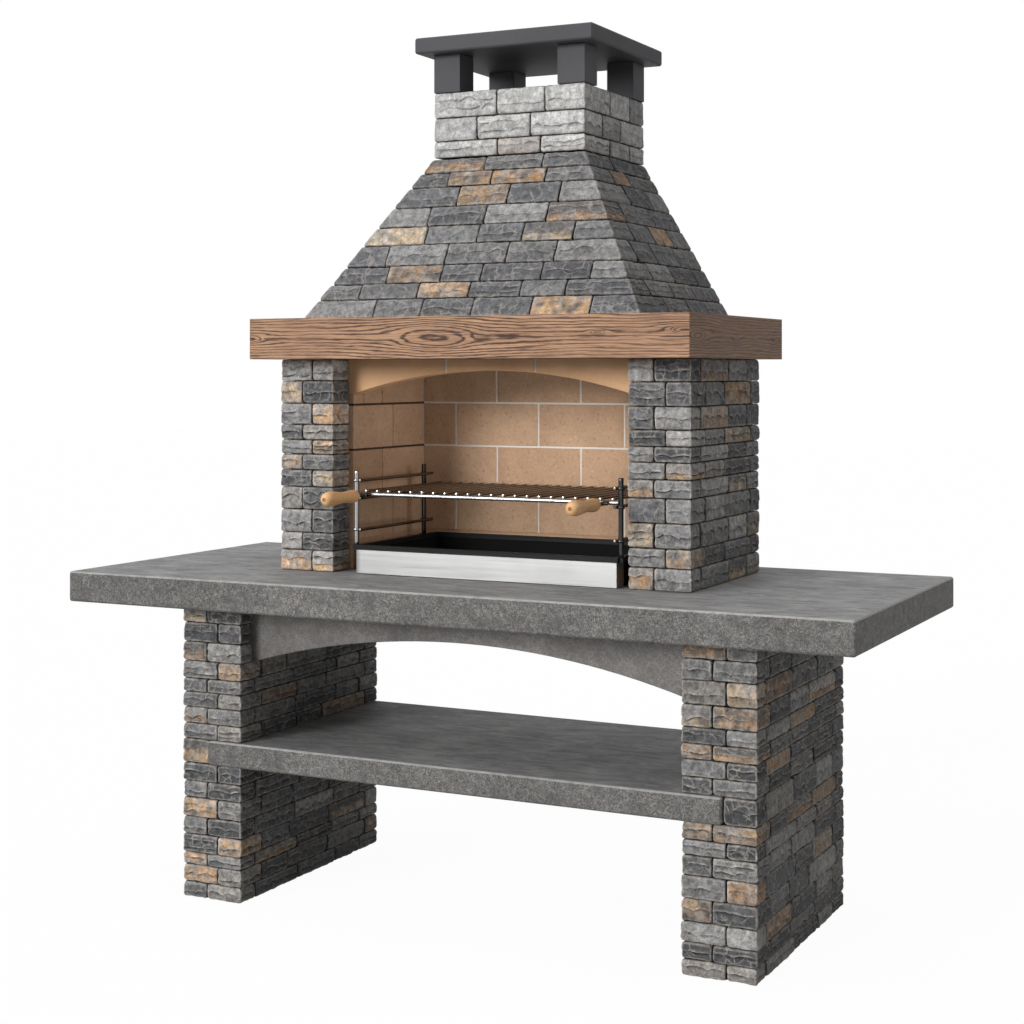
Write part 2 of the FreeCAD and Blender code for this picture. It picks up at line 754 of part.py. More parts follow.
def grill():
    # Straight rods welded across three bars. The first two bars reach over the rails.
    front_bar = grill_bar(grill_front_y, grill_bar_half)
    rest_bar = grill_bar(rear_post_y + grill_rest_from_post, grill_bar_half)
    edge_bar = grill_bar(grill_edge_y, grill_rod_span + grill_rod_overrun)
    save("grill_bars", Part.makeCompound([front_bar, rest_bar, edge_bar]))
    rods = []
    rod_length = grill_edge_y - grill_front_y + 2 * grill_rod_overrun
    for i in range(grill_rod_count):
        x = tray_offset_x - grill_rod_span + 2 * grill_rod_span * i / (grill_rod_count - 1)
        start = vector(x, grill_front_y - grill_rod_overrun, grill_rod_z)
        rods.append(rod(start, start + vector(0, rod_length, 0), grill_rod_radius, rod_sides))
    save("grill_rods", Part.makeCompound(rods))

    shanks = []
    for side, name in ((-1, "left"), (1, "right")):
        start = vector(tray_offset_x + side * handle_x, grill_front_y, grill_bar_z)
        end = start - vector(0, shank_length + tang_length, 0)
        bolt_start = start - vector(bolt_length / 2, bolt_from_bar, 0)
        bolt = rod(bolt_start, bolt_start + vector(bolt_length, 0, 0), bolt_radius, rod_sides)
        shank = rod(start, end, shank_radius, bar_sides).cut(front_bar).fuse(bolt)
        shanks.append(shank)
        save(name + "_grip", grip(start - vector(0, shank_length, 0)).cut(shank))
    save("handle_shanks", Part.makeCompound(shanks))


def grip(start):
    # Turned wooden grip: a swell, a waist, a full end and a rounded tip.
    along = vector(0, -1, 0)
    rings = [ring(start + along * distance, along, radius, grip_sides) for distance, radius in grip_profile]
    return stack(rings)


leg(-1, "left", left_leg_seed)
leg(1, "right", right_leg_seed)
shelf_ys = (leg_front_y - shelf_proud, leg_back_y)
save("lower_shelf", slab((-shelf_half, shelf_half), shelf_ys, (shelf_bottom, shelf_top)))
half_length = worktop_length / 2
half_depth = worktop_depth / 2
save("worktop", slab((-half_length, half_length), (-half_depth, half_depth), (worktop_bottom, worktop_top)))
save("apron", apron())
pillar_levels = course_levels(worktop_top, mantel_bottom, pillar_courses, pillar_seed)
pillar(-1, "left", pillar_levels, pillar_seed + 1)
pillar(1, "right", pillar_levels, pillar_seed + 2)
back_wall(pillar_levels, back_wall_seed)
back_lining()
side_lining(-1, "left")
side_lining(1, "right")
arch()
mantel()
hood()
chimney()
cap()
ember_tray()
rack()
grill()
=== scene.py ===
"""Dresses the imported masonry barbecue: split stone, firebrick, concrete, timber and steel.

Metres, in the part's own frame: +Z up, the hearth mouth faces -Y.
"""
import math
import random
from functools import partialmethod

import bmesh
import bpy
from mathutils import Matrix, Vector, noise


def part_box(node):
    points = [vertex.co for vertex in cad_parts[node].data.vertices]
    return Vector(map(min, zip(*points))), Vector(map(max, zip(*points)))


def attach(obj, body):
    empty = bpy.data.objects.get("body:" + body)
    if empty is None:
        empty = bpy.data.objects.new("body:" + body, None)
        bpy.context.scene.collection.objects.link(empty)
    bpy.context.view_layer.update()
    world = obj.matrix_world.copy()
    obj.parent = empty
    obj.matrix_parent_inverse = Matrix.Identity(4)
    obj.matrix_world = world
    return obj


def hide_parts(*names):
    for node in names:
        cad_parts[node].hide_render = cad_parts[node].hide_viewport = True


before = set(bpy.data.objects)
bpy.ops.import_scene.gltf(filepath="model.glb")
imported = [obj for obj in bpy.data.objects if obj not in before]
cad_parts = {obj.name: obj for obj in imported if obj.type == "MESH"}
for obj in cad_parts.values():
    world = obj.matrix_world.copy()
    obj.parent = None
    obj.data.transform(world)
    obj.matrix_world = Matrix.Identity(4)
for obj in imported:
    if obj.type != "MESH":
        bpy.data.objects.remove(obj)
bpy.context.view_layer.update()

# Camera of the photograph: level, aimed 26.5 degrees left of the depth axis, shifted down
CAMERA_PLACE = (1.9914, -3.9574, 1.3078)
CAMERA_TURN = math.radians(26.5)
CAMERA_LENS = 63.4
CAMERA_SENSOR = 36
CAMERA_SHIFT_Y = -0.1376

# Stone faces. edge is the rounding of an arris, step and rise the spacing of the points, corner the curve
# where a stone turns a corner, splits the odds of no, one or two split lines across a face, arc the usual
# length of the arcs of such a line, relief how far a ledge stands out above the part under it, swell the
# height of the slow hollows, shadow the strength of the painted shadow under a ledge, wear_and_highlight
# that of the pale arrises, which stand for wear and a painted highlight, and of the painted highlight over
# a ledge, depth how far a stone's sides reach back, joint the width of the painted shade at its ends, far
# how much wider the points are spaced on the faces turned away from the photograph's camera
LEDGESTONE = dict(edge=0.0068, step=0.0042, rise=0.0036, corner=0.0060, splits=(1, 8, 1), arc=0.048,
                  relief=0.0085, swell=0.0020, shadow=0.62, wear_and_highlight=0.70, depth=0.020, joint=0.0026, far=1.0)
LEG_STONE = dict(LEDGESTONE, step=0.0049, rise=0.0041, far=2.2)
SLATE = dict(edge=0.0042, step=0.0060, rise=0.0050, corner=0.0040, splits=(2, 5, 2), arc=0.060,
             relief=0.0030, swell=0.0012, shadow=0.32, wear_and_highlight=0.40, depth=0.018, joint=0.0026, far=1.0)
HIP_STONE = dict(SLATE, edge=0.0070)
PALE_STONE = dict(LEDGESTONE, edge=0.0060, corner=0.0045, splits=(1, 4, 3), arc=0.050, relief=0.0055,
                  shadow=0.36, wear_and_highlight=0.40)

# Stones without a front side: less relief and a weaker painted shadow under their ledges, a wider painted
# shade in their joints, and warm tints that are a little greyer
SIDE_RELIEF = 0.65
SIDE_JOINT = 2.1
SIDE_FADE = 0.12
# How far the warm tints of the chimney go over to grey
CHIMNEY_FADE = 0.55

# Places of the points across a rounded arris, as parts of its width
ARRIS_PARTS = (0.0, 0.12, 0.4)
# Half the step at a ledge, how far its line wavers, and the least height of a layer
LEDGE_HALF = 0.0004
LEDGE_WAVER = 0.0014
LAYER_LEAST = 0.004
# Heights of the painted shadow under a ledge and of the painted highlight over it
DARK_UNDER = 0.0065
PALE_OVER = 0.0050
# How far the top of a stone leans back, as a part of its relief
TOP_LEAN = 0.3
# Lengths over which the ledges fade in from a stone's ends and corner, and the hollows from its ends
FADE_FROM_END = (0.0015, 0.013)
FADE_FROM_TURN = 0.014
SWELL_FADE = 0.02
# Lengths and heights of the waves in a stone's face, edges and colour, and the depth of the fine ones
SWELL_SIZE = (0.040, 0.028)
GRIT_SIZE = (0.009, 0.007)
GRIT_DEPTH = 0.0007
CHIP_SIZE = (0.016, 0.016)
WAVER_SIZE = (0.008, 1)
END_SIZE = (1, 0.012)
BED_SIZE = (0.016, 1)
MOTTLE_SIZE = (0.024, 0.016)
PALE_ARRIS_SIZE = (0.018, 0.018)
# Distances from an edge where the pale arris, part wear and part painted highlight, begins and is full
PALE_ARRIS_FROM = 0.0060
PALE_ARRIS_TO = 0.0020
# Joints: how far their painted shade is black at a stone's ends, the width of its dark band at the beds,
# their narrowing, the length over which it fades, and the rounding of a stone's outer corners
END_BLACK = 0.0004
BED_DARK = 0.0016
JOINT_FILL = 0.0005
JOINT_FADE = 0.02
CORNER_ROUND = 0.010

# Sides of a clad part, as axis and sign
LEFT, RIGHT, FRONT, REAR = (0, -1), (0, 1), (1, -1), (1, 1)
ALL_SIDES = (LEFT, RIGHT, FRONT, REAR)

# Warm-coloured stones on the faces that the photograph shows: places along the face and above the ground
WARM_PLACES = {
    "left_pillar_stones": {
        FRONT: ((-0.51, 1.27), (-0.43, 1.20), (-0.43, 1.13), (-0.51, 1.09), (-0.43, 1.03), (-0.51, 0.85),
                (-0.43, 0.83))},
    "right_pillar_stones": {
        FRONT: ((0.51, 1.09), (0.43, 1.03), (0.43, 0.93), (0.51, 0.88), (0.43, 0.83)),
        RIGHT: ((-0.01, 1.21), (0.23, 1.16), (0.23, 1.26), (0.11, 1.06), (0.22, 0.94), (0.19, 0.85),
                (-0.02, 1.30))},
    "left_leg_stones": {
        FRONT: ((-0.71, 0.69), (-0.74, 0.63), (-0.63, 0.55), (-0.74, 0.46), (-0.71, 0.35), (-0.71, 0.22),
                (-0.74, 0.09), (-0.71, 0.06), (-0.61, 0.14)),
        RIGHT: ((-0.10, 0.49), (0.28, 0.41), (0.24, 0.15), (-0.11, 0.10), (0.29, 0.07))},
    "right_leg_stones": {
        FRONT: ((0.63, 0.69), (0.71, 0.61), (0.62, 0.56), (0.70, 0.55), (0.61, 0.48), (0.70, 0.49),
                (0.61, 0.31), (0.70, 0.31), (0.71, 0.19), (0.61, 0.14)),
        RIGHT: ((-0.17, 0.62), (0.21, 0.55), (0.10, 0.51), (-0.14, 0.46), (0.03, 0.32), (0.19, 0.31),
                (0.11, 0.18), (0.23, 0.18), (-0.14, 0.10))},
    "hood_stones_front": {
        FRONT: ((0.16, 1.83), (-0.10, 1.74), (0.15, 1.64), (-0.16, 1.54), (-0.10, 1.50), (0.30, 1.46),
                (-0.07, 1.79))},
    "hood_hip_stones": {FRONT: ((-0.29, 1.65), (0.24, 1.69), (-0.18, 1.81))},
    "hood_stones_right": {RIGHT: ((0.20, 1.78), (0.18, 1.62))},
    "chimney_stones": {FRONT: ((0.06, 1.85),)},
}
# Share of warm stones on the other faces, and share of all the warm stones that are warm all over
WARM_SHARE_UNSEEN = 0.14
WARM_ALL_OVER = 0.6
# Painted light and shade: factor on the tints of a part's stones, above 1 to light the pillars and the
# left leg, below 1 to shade the right leg, 1 where none is given
PAINTED_LIGHT_FACTOR = {"left_leg_stones": 1.03, "right_leg_stones": 0.92, "left_pillar_stones": 1.30,
             "right_pillar_stones": 1.09}

# Firebricks: rounding of their edges, unevenness, and half a bed joint
BRICK_EDGE = 0.0022
BRICK_UNEVEN = 0.0004
BED_HALF = 0.0025

# Beams of the mantel: the side that a beam faces, its painted shade, darkest on the right beam that faces
# away from the light, and its knots, each with its distance along the beam, its height over the middle, and
# its size
BEAMS = {
    "mantel_front": (FRONT, 0.98, ((-0.057, 0.0, 0.025), (-0.58, 0.0, 0.010), (0.36, 0.008, 0.005),
                                   (0.57, 0.012, 0.008))),
    "mantel_left": (LEFT, 0.90, ((-0.15, 0.0, 0.012), (0.25, 0.010, 0.008))),
    "mantel_right": (RIGHT, 0.62, ((-0.21, 0.0, 0.013), (0.05, -0.008, 0.005), (0.37, -0.004, 0.009))),
}

# Turned grip: distance from the shank end and radius; then the radii of its shank hole and of the hole
# at its tip, the depth of that hole, and the place and radius of the bolt on a shank
GRIP_PROFILE = ((0.0, 0.0125), (0.009, 0.0152), (0.022, 0.0156), (0.043, 0.0140), (0.062, 0.0136),
                (0.084, 0.0154), (0.106, 0.0178), (0.120, 0.0178), (0.131, 0.0152), (0.138, 0.0105),
                (0.142, 0.0030))
GRIP_SOCKET = 0.0048
GRIP_HOLE = 0.0015
GRIP_HOLE_DEPTH = 0.004
BOLT_FROM_BAR = 0.036
BOLT_RADIUS = 0.0035

# Lengths of the painted highlights at the front and rear ends of the grill rods, and the wall of the collars
PAINTED_HIGHLIGHT_FRONT = 0.009
PAINTED_HIGHLIGHT_REAR = 0.021
COLLAR_WALL = 0.0029


def tone(red, green, blue):
    """Linear colour of a screen colour given as three numbers up to 255."""
    values = []
    for part in (red, green, blue):
        part /= 255
        values.append(part / 12.92 if part <= 0.04045 else ((part + 0.055) / 1.055) ** 2.4)
    return (*values, 1.0)


def blend(a, b, factor):
    return tuple(x + (y - x) * factor for x, y in zip(a, b))


def smooth(low, high, value):
    t = min(1.0, max(0.0, (value - low) / (high - low)))
    return t * t * (3 - 2 * t)


BLACK = (0.0, 0.0, 0.0, 1.0)
WHITE = (1.0, 1.0, 1.0, 1.0)
# Tint of the pale arrises and ledge lips, part wear and part painted highlight, and tints of the stones,
# with the share of each grey
PALE_EDGE = tone(208, 200, 190)
GREYS = (tone(96, 97, 99), tone(120, 120, 122), tone(143, 142, 142), tone(176, 174, 172),
         tone(154, 150, 145))
GREY_SHARES = (4, 6, 7, 4, 2)
SLATE_GREYS = (tone(101, 102, 106), tone(116, 117, 120), tone(133, 133, 134), tone(155, 154, 154))
SLATE_SHARES = (5, 6, 5, 2)
PALE_GREYS = (tone(219, 218, 216), tone(209, 208, 207), tone(195, 194, 194), tone(168, 168, 168))
PALE_SHARES = (6, 5, 3, 1)
WARMS = (tone(202, 167, 131), tone(190, 153, 118), tone(204, 183, 157), tone(180, 153, 126))

# Dark and light tones of the mortar joints; the near-black raked ones are a painted shade in the grooves
PALE_MORTAR = (tone(214, 206, 196), tone(232, 226, 218))
BRICK_MORTAR = (tone(166, 132, 104), tone(196, 162, 132))
PAINTED_GROOVE_SHADE = (tone(38, 30, 24), tone(92, 78, 66))


class Value:
    """What a node gives. Sums, products and ranges of such values are nodes too."""

    def __init__(self, nodes, socket):
        self.nodes = nodes
        self.socket = socket

    def maths(self, operation, other=0.0):
        return self.nodes.add("Math", {0: self, 1: other}, operation=operation)

    def maths_from(self, operation, other):
        return self.nodes.add("Math", {0: other, 1: self}, operation=operation)

    __add__ = partialmethod(maths, "ADD")
    __sub__ = partialmethod(maths, "SUBTRACT")
    __mul__ = partialmethod(maths, "MULTIPLY")
    __truediv__ = partialmethod(maths, "DIVIDE")
    __rsub__ = partialmethod(maths_from, "SUBTRACT")
    __rtruediv__ = partialmethod(maths_from, "DIVIDE")
    __abs__ = partialmethod(maths, "ABSOLUTE")
    larger = partialmethod(maths, "MAXIMUM")

    def range(self, low, high, to_low=0.0, to_high=1.0):
        inputs = {"Value": self, "From Min": low, "From Max": high, "To Min": to_low, "To Max": to_high}
        return self.nodes.add("MapRange", inputs)

    def other(self, output):
        """Another output of the same node."""
        return Value(self.nodes, self.socket.node.outputs[output])


class Nodes:
    """The nodes of a material or a world, with short calls that add some and join them."""

    def __init__(self, owner):
        owner.use_nodes = True
        self.tree = owner.node_tree

    def feed(self, socket, value):
        if isinstance(value, Value):
            self.tree.links.new(value.socket, socket)
        else:
            socket.default_value = value

    def add(self, kind, inputs, output=0, **settings):
        node = self.tree.nodes.new("ShaderNode" + kind)
        for key, value in settings.items():
            setattr(node, key, value)
        for key, value in inputs.items():
            self.feed(node.inputs[key], value)
        return Value(self, node.outputs[output])

    def seen(self):
        """1 for what the camera or the metal sees."""
        camera_ray = self.add("LightPath", {}, "Is Camera Ray")
        return camera_ray.larger(camera_ray.other("Is Glossy Ray"))

    def show(self, output, factor, first, second):
        """A mix of two shaders goes to the output."""
        mixed = self.add("MixShader", {0: factor, 1: first, 2: second})
        self.feed(self.tree.nodes[output].inputs["Surface"], mixed)


class Surface(Nodes):
    """A procedural material."""

    def __init__(self, name, roughness, metallic=0.0, specular=0.5):
        self.material = bpy.data.materials.new(name)
        super().__init__(self.material)
        self.shader = self.tree.nodes["Principled BSDF"]
        self.shader.inputs["Roughness"].default_value = roughness
        self.shader.inputs["Metallic"].default_value = metallic
        self.shader.inputs["Specular IOR Level"].default_value = specular

    def coordinates(self):
        """The piece's own coordinates, one by one."""
        x = self.add("SeparateXYZ", {0: self.add("TexCoord", {}, "Object")})
        return x, x.other("Y"), x.other("Z")

    def place(self, scale=(1, 1, 1)):
        return self.add("Mapping", {"Vector": self.add("TexCoord", {}, "Object"), "Scale": scale})

    def noise(self, place, scale, detail=4.0, roughness=0.5, distortion=0.0):
        inputs = {"Vector": place, "Scale": scale, "Detail": detail, "Roughness": roughness,
                  "Distortion": distortion}
        return self.add("TexNoise", inputs, "Fac")

    def bent(self, place, scale, amount):
        """Coordinates pushed about by a noise, so that a pattern loses its straight lines."""
        push = self.add("TexNoise", {"Vector": place, "Scale": scale, "Detail": 3.0}, "Color")
        push = self.add("VectorMath", {0: push, 1: (0.5, 0.5, 0.5)}, operation="SUBTRACT")
        push = self.add("VectorMath", {0: push, "Scale": amount}, operation="SCALE")
        return self.add("VectorMath", {0: place, 1: push}, operation="ADD")

    def mix(self, factor, a, b, kind="MIX"):
        return self.add("Mix", {0: factor, 6: a, 7: b}, 2, data_type="RGBA", blend_type=kind)

    def grey(self, value):
        return self.add("CombineColor", {0: value, 1: value, 2: value})

    def shaded(self, colour, shade):
        """A colour times another."""
        return self.mix(1.0, colour, shade, "MULTIPLY")

    def varied(self, colour, value, contrast, low=0.3, high=0.7):
        """A colour made darker and lighter by a noise."""
        return self.shaded(colour, self.grey(value.range(low, high, 1 - contrast, 1 + contrast)))

    def tint(self):
        return self.add("Attribute", {}, "Color", attribute_name="Tint")

    def facing_up(self):
        return self.add("SeparateXYZ", {0: self.add("NewGeometry", {}, "Normal")}, "Z")

    def finished(self, colour, roughness, height, depth, strength=1.0):
        """The material with its colour, roughness and relief."""
        bump = self.add("Bump", {"Height": height, "Distance": depth, "Strength": strength})
        for key, value in (("Base Color", colour), ("Roughness", roughness), ("Normal", bump)):
            self.feed(self.shader.inputs[key], value)
        return self.material


def stone_surface(name, size, mottled, lines, depth):
    """Split stone: the tint of each layer, faded in patches, mottled, and broken into small hollow facets
    with thin pale crests here and there."""
    skin = Surface(name, 0.85, specular=0.3)
    place = skin.place()
    facets = {"Vector": skin.bent(place, 34, 0.034), "Scale": 1 / size}
    hollow = skin.add("TexVoronoi", facets, "Distance", feature="F1")
    crest = skin.add("TexVoronoi", facets, "Distance", feature="DISTANCE_TO_EDGE")
    own = skin.add("SeparateColor", {0: hollow.other("Color")})
    mottle = skin.noise(place, 75, 6, 0.72)
    grain = skin.noise(place, 330, 3, 0.6)
    patch = skin.noise(place, 26, 4, 0.6)
    colour = skin.add("HueSaturation", {
        "Color": skin.tint(),
        "Saturation": patch.range(0.36, 0.54, 0.50, 1.06),
        "Value": patch.range(0.36, 0.54, 0.92, 1.03)})
    colour = skin.varied(colour, own, 0.12, 0.0, 1.0)
    colour = skin.varied(colour, mottle, mottled, 0.35, 0.65)
    colour = skin.varied(colour, grain, 0.18, 0.35, 0.65)
    thin = crest.range(0.0, 0.08, 1.0, 0.0)
    broken = skin.noise(place, 30, 3).range(0.44, 0.58, 0.0, lines)
    colour = skin.mix(thin * broken, colour, tone(200, 195, 188))
    height = hollow + mottle * 1.3 + grain * 0.12
    return skin.finished(colour, mottle.range(0.3, 0.7, 0.75, 0.95), height, depth)


def concrete_surface(name, top, face, threads, clouds):
    """Honed concrete: brushed top, darker faces full of fine pale threads, a painted highlight on the upper
    arrises.
    """
    skin = Surface(name, 0.7, specular=0.35)
    place = skin.place()
    cloud = skin.noise(place, 5, 5, 0.6)
    coarse = skin.noise(place, 48, 6, 0.7)
    fine = skin.noise(place, 240, 4, 0.7)
    brushed = skin.noise(skin.place((11, 30, 30)), 1.0, 6, 0.7, 0.8)
    up = skin.facing_up()
    streaked = skin.varied(top, brushed, 0.42)
    speckled = skin.varied(face, coarse, 0.30)
    for scale, width in ((85, 0.05), (150, 0.06)):
        middle_line = abs(skin.noise(place, scale, 2, 0.5, 1.2) - 0.5)
        patch = skin.noise(place, scale / 3, 3).range(0.24, 0.56, 0.0, threads)
        speckled = skin.mix(middle_line.range(0.0, width, 1.0, 0.0) * patch, speckled, tone(176, 172, 167))
    colour = skin.mix(up.range(0.8, 0.95, 1.0, 0.0), streaked, speckled)
    colour = skin.varied(colour, cloud, clouds)
    colour = skin.varied(colour, fine, 0.16)
    # Painted highlight on the upper arrises
    arris = up.range(0.3, 0.5) * up.range(0.93, 0.99, 1.0, 0.0)
    colour = skin.mix(arris * coarse.range(0.3, 0.6, 0.35, 0.9), colour, tone(186, 184, 181))
    return skin.finished(colour, coarse.range(0.3, 0.7, 0.55, 0.85), coarse + fine * 0.5, 0.0010, 0.8)


def timber_surface(name, along_y, face, knots, shade):
    """Brown beam, brushed: growth lines run along it and part round each knot. Inwards from its outer
    face the lines sink, so that the top of the beam shows them too."""
    skin = Surface(name, 0.6, specular=0.3)
    x, y, z = skin.coordinates()
    along, across = (y, x) if along_y else (x, y)

    def drawn_out(slow, quick):
        """Coordinates drawn out along the beam."""
        return skin.place((quick, slow, quick) if along_y else (slow, quick, quick))

    height = z - abs(across - face) * 0.7
    stream = height - (knots[0][1] + 0.001)
    eyes = 0.0
    close = 0.0
    for knot, level, size in knots:
        run = (along - knot) * 0.23
        rise = height - level
        squared = run * run + rise * rise
        pull = size * size / squared
        stream = stream * (1.0 - pull).larger(0.0)
        eyes = (1.0 - squared / (size * size)).larger(0.0) + eyes
        close = pull.range(0.02, 0.16).larger(close)
    bend = skin.noise(drawn_out(4, 30), 1.0, 4, 0.6)
    wave = ((stream + bend * 0.022) * 860.0 + eyes * 13.0).maths("SINE")
    streak = skin.noise(drawn_out(9, 360), 1.0, 5, 0.75)
    patch = skin.noise(drawn_out(7, 26), 1.0, 3, 0.6)
    light = skin.mix(patch.range(0.35, 0.65), tone(200, 157, 124), tone(174, 135, 108))
    ringed = wave.range(0.0, 0.9) * close.larger(patch.range(0.3, 0.6, 0.95, 0.5))
    colour = skin.mix(ringed, light, tone(76, 54, 44))
    colour = skin.mix(streak.range(0.48, 0.34, 0.0, 0.85), colour, tone(70, 50, 41))
    colour = skin.mix(streak.range(0.54, 0.70, 0.0, 0.7), colour, tone(222, 182, 150))
    # Painted shade: the whole beam darker by its factor
    colour = skin.shaded(colour, (shade, shade, shade, 1.0))
    return skin.finished(colour, streak.range(0.3, 0.7, 0.5, 0.75), streak - wave * 0.15, 0.0016)


def with_speckles(skin, colour, speckle, dark, dark_from, dark_most):
    """The colour of fired clay, with dark and light speckles in it."""
    colour = skin.mix(speckle.range(dark_from, dark_from + 0.12, 0.0, dark_most), colour, dark)
    return skin.mix(speckle.range(0.40, 0.30, 0.0, 0.35), colour, tone(232, 208, 180))


def firebrick_surface(name):
    """Pale fired clay: each brick's own tint, fine speckle and sandy grain."""
    skin = Surface(name, 0.88, specular=0.25)
    place = skin.place()
    speckle = skin.noise(place, 150, 3, 0.7)
    sand = skin.noise(place, 520, 2, 0.6)
    colour = skin.varied(skin.tint(), skin.noise(place, 14, 4, 0.6), 0.10)
    colour = with_speckles(skin, colour, speckle, tone(128, 92, 64), 0.58, 0.6)
    return skin.finished(colour, speckle.range(0.3, 0.7, 0.8, 0.95), speckle + sand * 0.6, 0.0006)


def arch_surface(name):
    """Fired clay of the arch: warmer and plainer than the bricks."""
    skin = Surface(name, 0.88, specular=0.25)
    place = skin.place()
    speckle = skin.noise(place, 190, 3, 0.7)
    cloud = skin.noise(place, 9, 4, 0.6)
    colour = skin.mix(cloud.range(0.3, 0.7), tone(234, 190, 148), tone(218, 172, 130))
    colour = with_speckles(skin, colour, speckle, tone(150, 112, 80), 0.60, 0.4)
    return skin.finished(colour, speckle.range(0.3, 0.7, 0.8, 0.95), speckle, 0.0006)


def joint_surface(name, bricks, heights, upright, bed):
    """Mortar of a lining, with the beds between two heights in a colour of their own."""
    roughness = 0.9
    skin = Surface(name, roughness, specular=0.2)
    height = skin.coordinates()[2]
    beds = 0.0
    levels = {round(high.z, 4) for _, high in boxes(bricks)}
    for level in sorted(level for level in levels if heights[0] < level < heights[1]):
        beds = abs(height - (level + BED_HALF)).range(0.003, 0.004, 1.0, 0.0).larger(beds)
    grain = skin.noise(skin.place(), 120, 4, 0.65)
    colour = skin.mix(beds, skin.mix(grain, *upright), skin.mix(grain, *bed))
    return skin.finished(colour, roughness, grain, 0.0006)


def grainy_surface(name, dark, light, scale, depth, roughness, specular=0.15):
    """Plain matt surface with a fine even grain, such as mortar, block or powder coat."""
    skin = Surface(name, roughness, specular=specular)
    place = skin.place()
    fine = skin.noise(place, scale, 4, 0.65)
    colour = skin.mix(fine.range(0.32, 0.68), dark, light)
    colour = skin.varied(colour, skin.noise(place, 7, 3), 0.08)
    return skin.finished(colour, fine.range(0.3, 0.7, roughness - 0.08, roughness + 0.08), fine, depth)


def metal_surface(name, dark, light, roughness, brush, bent_end=None):
    """Bare steel with fine brush lines along one axis. A sheet has a painted reflection of the dark pillar
    beside it, darker towards its bent left end, given as a place in x; rods have a tint of their own."""
    skin = Surface(name, roughness, metallic=1.0)
    lines = skin.noise(skin.place(brush), 4.0, 4, 0.6)
    colour = skin.mix(lines.range(0.3, 0.7), dark, light)
    colour = skin.varied(colour, skin.noise(skin.place(), 9, 2), 0.05)
    if bent_end is None:
        shade = skin.tint()
    else:
        # Painted reflection: darker towards the bent left end
        shade = skin.grey(skin.coordinates()[0].range(bent_end + 0.004, bent_end + 0.012, 0.60, 1.0))
    colour = skin.shaded(colour, shade)
    return skin.finished(colour, lines.range(0.3, 0.7, roughness * 0.8, roughness * 1.2), lines, 0.00006)


def beech_surface(name):
    """Pale turned wood: fine flecks along the grip and slow colour bands."""
    skin = Surface(name, 0.38, specular=0.5)
    fleck = skin.noise(skin.place((260, 18, 260)), 2.0, 3, 0.6)
    band = skin.noise(skin.place((60, 4, 60)), 2.0, 2)
    colour = skin.mix(band.range(0.3, 0.7), tone(234, 178, 120), tone(246, 200, 147))
    colour = skin.mix(fleck.range(0.55, 0.75, 0.0, 0.35), colour, tone(182, 126, 72))
    colour = skin.shaded(colour, skin.tint())
    return skin.finished(colour, fleck.range(0.3, 0.7, 0.32, 0.46), fleck, 0.00015)


def islands(node):
    """The corner points of each separate solid in a CAD node."""
    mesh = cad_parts[node].data
    keys = [tuple(round(c, 5) for c in vertex.co) for vertex in mesh.vertices]
    leader = {key: key for key in keys}

    def lead(key):
        while leader[key] != key:
            leader[key] = leader[leader[key]]
            key = leader[key]
        return key

    for polygon in mesh.polygons:
        first = lead(keys[polygon.vertices[0]])
        for index in polygon.vertices[1:]:
            leader[lead(keys[index])] = first
    groups = {}
    for key in leader:
        groups.setdefault(lead(key), []).append(Vector(key))
    return sorted(groups.values(), key=lambda points: tuple(box_of(points)[0].zyx))


def box_of(points):
    low = Vector([min(p[axis] for p in points) for axis in range(3)])
    high = Vector([max(p[axis] for p in points) for axis in range(3)])
    return low, high


def boxes(node):
    """The box round each separate solid in a CAD node."""
    return [box_of(points) for points in islands(node)]


def add_object(name, data):
    thing = bpy.data.objects.new(name, data)
    bpy.context.scene.collection.objects.link(thing)
    return thing


def add_piece(name, mesh, surface, body, nodes):
    """One visible object that stands for CAD nodes and moves with their body."""
    mesh.materials.append(surface)
    piece = add_object(name, mesh)
    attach(piece, body)
    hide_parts(*nodes)


class Patches:
    """Gathers points, faces and tints of many small solids into one mesh."""

    def __init__(self):
        self.points = []
        self.faces = []
        self.tints = []

    def point(self, place, tint):
        self.points.append(place)
        self.tints.append(tint)
        return len(self.points) - 1

    def mesh(self, name):
        mesh = bpy.data.meshes.new(name)
        mesh.from_pydata([tuple(p) for p in self.points], [], self.faces)
        colours = mesh.color_attributes.new("Tint", "FLOAT_COLOR", "POINT")
        colours.data.foreach_set("color", [value for tint in self.tints for value in tint])
        mesh.polygons.foreach_set("use_smooth", [True] * len(mesh.polygons))
        tidy = bmesh.new()
        tidy.from_mesh(mesh)
        bmesh.ops.recalc_face_normals(tidy, faces=tidy.faces)
        tidy.to_mesh(mesh)
        tidy.free()
        mesh.set_sharp_from_angle(angle=math.radians(50))
        return mesh


def outer_edge(points, sides):
    """Ends of a stone's outer edge at one level, by way of its corner where it turns one."""
    near = 0.0006
    if len(sides) == 1:
        axis, sign = sides[0]
        face = max(sign * p[axis] for p in points)
        edge = [p for p in points if sign * p[axis] > face - near]
        edge.sort(key=lambda p: p[1 - axis])
        return [edge[0], edge[-1]]
    signs = dict(sides)
    corner = max(points, key=lambda p: signs[0] * p.x + signs[1] * p.y)
    along_x = [p for p in points if abs(p.y - corner.y) < near]
    along_y = [p for p in points if abs(p.x - corner.x) < near]
    return [max(along_x, key=lambda p: abs(p.x - corner.x)), corner,
            max(along_y, key=lambda p: abs(p.y - corner.y))]


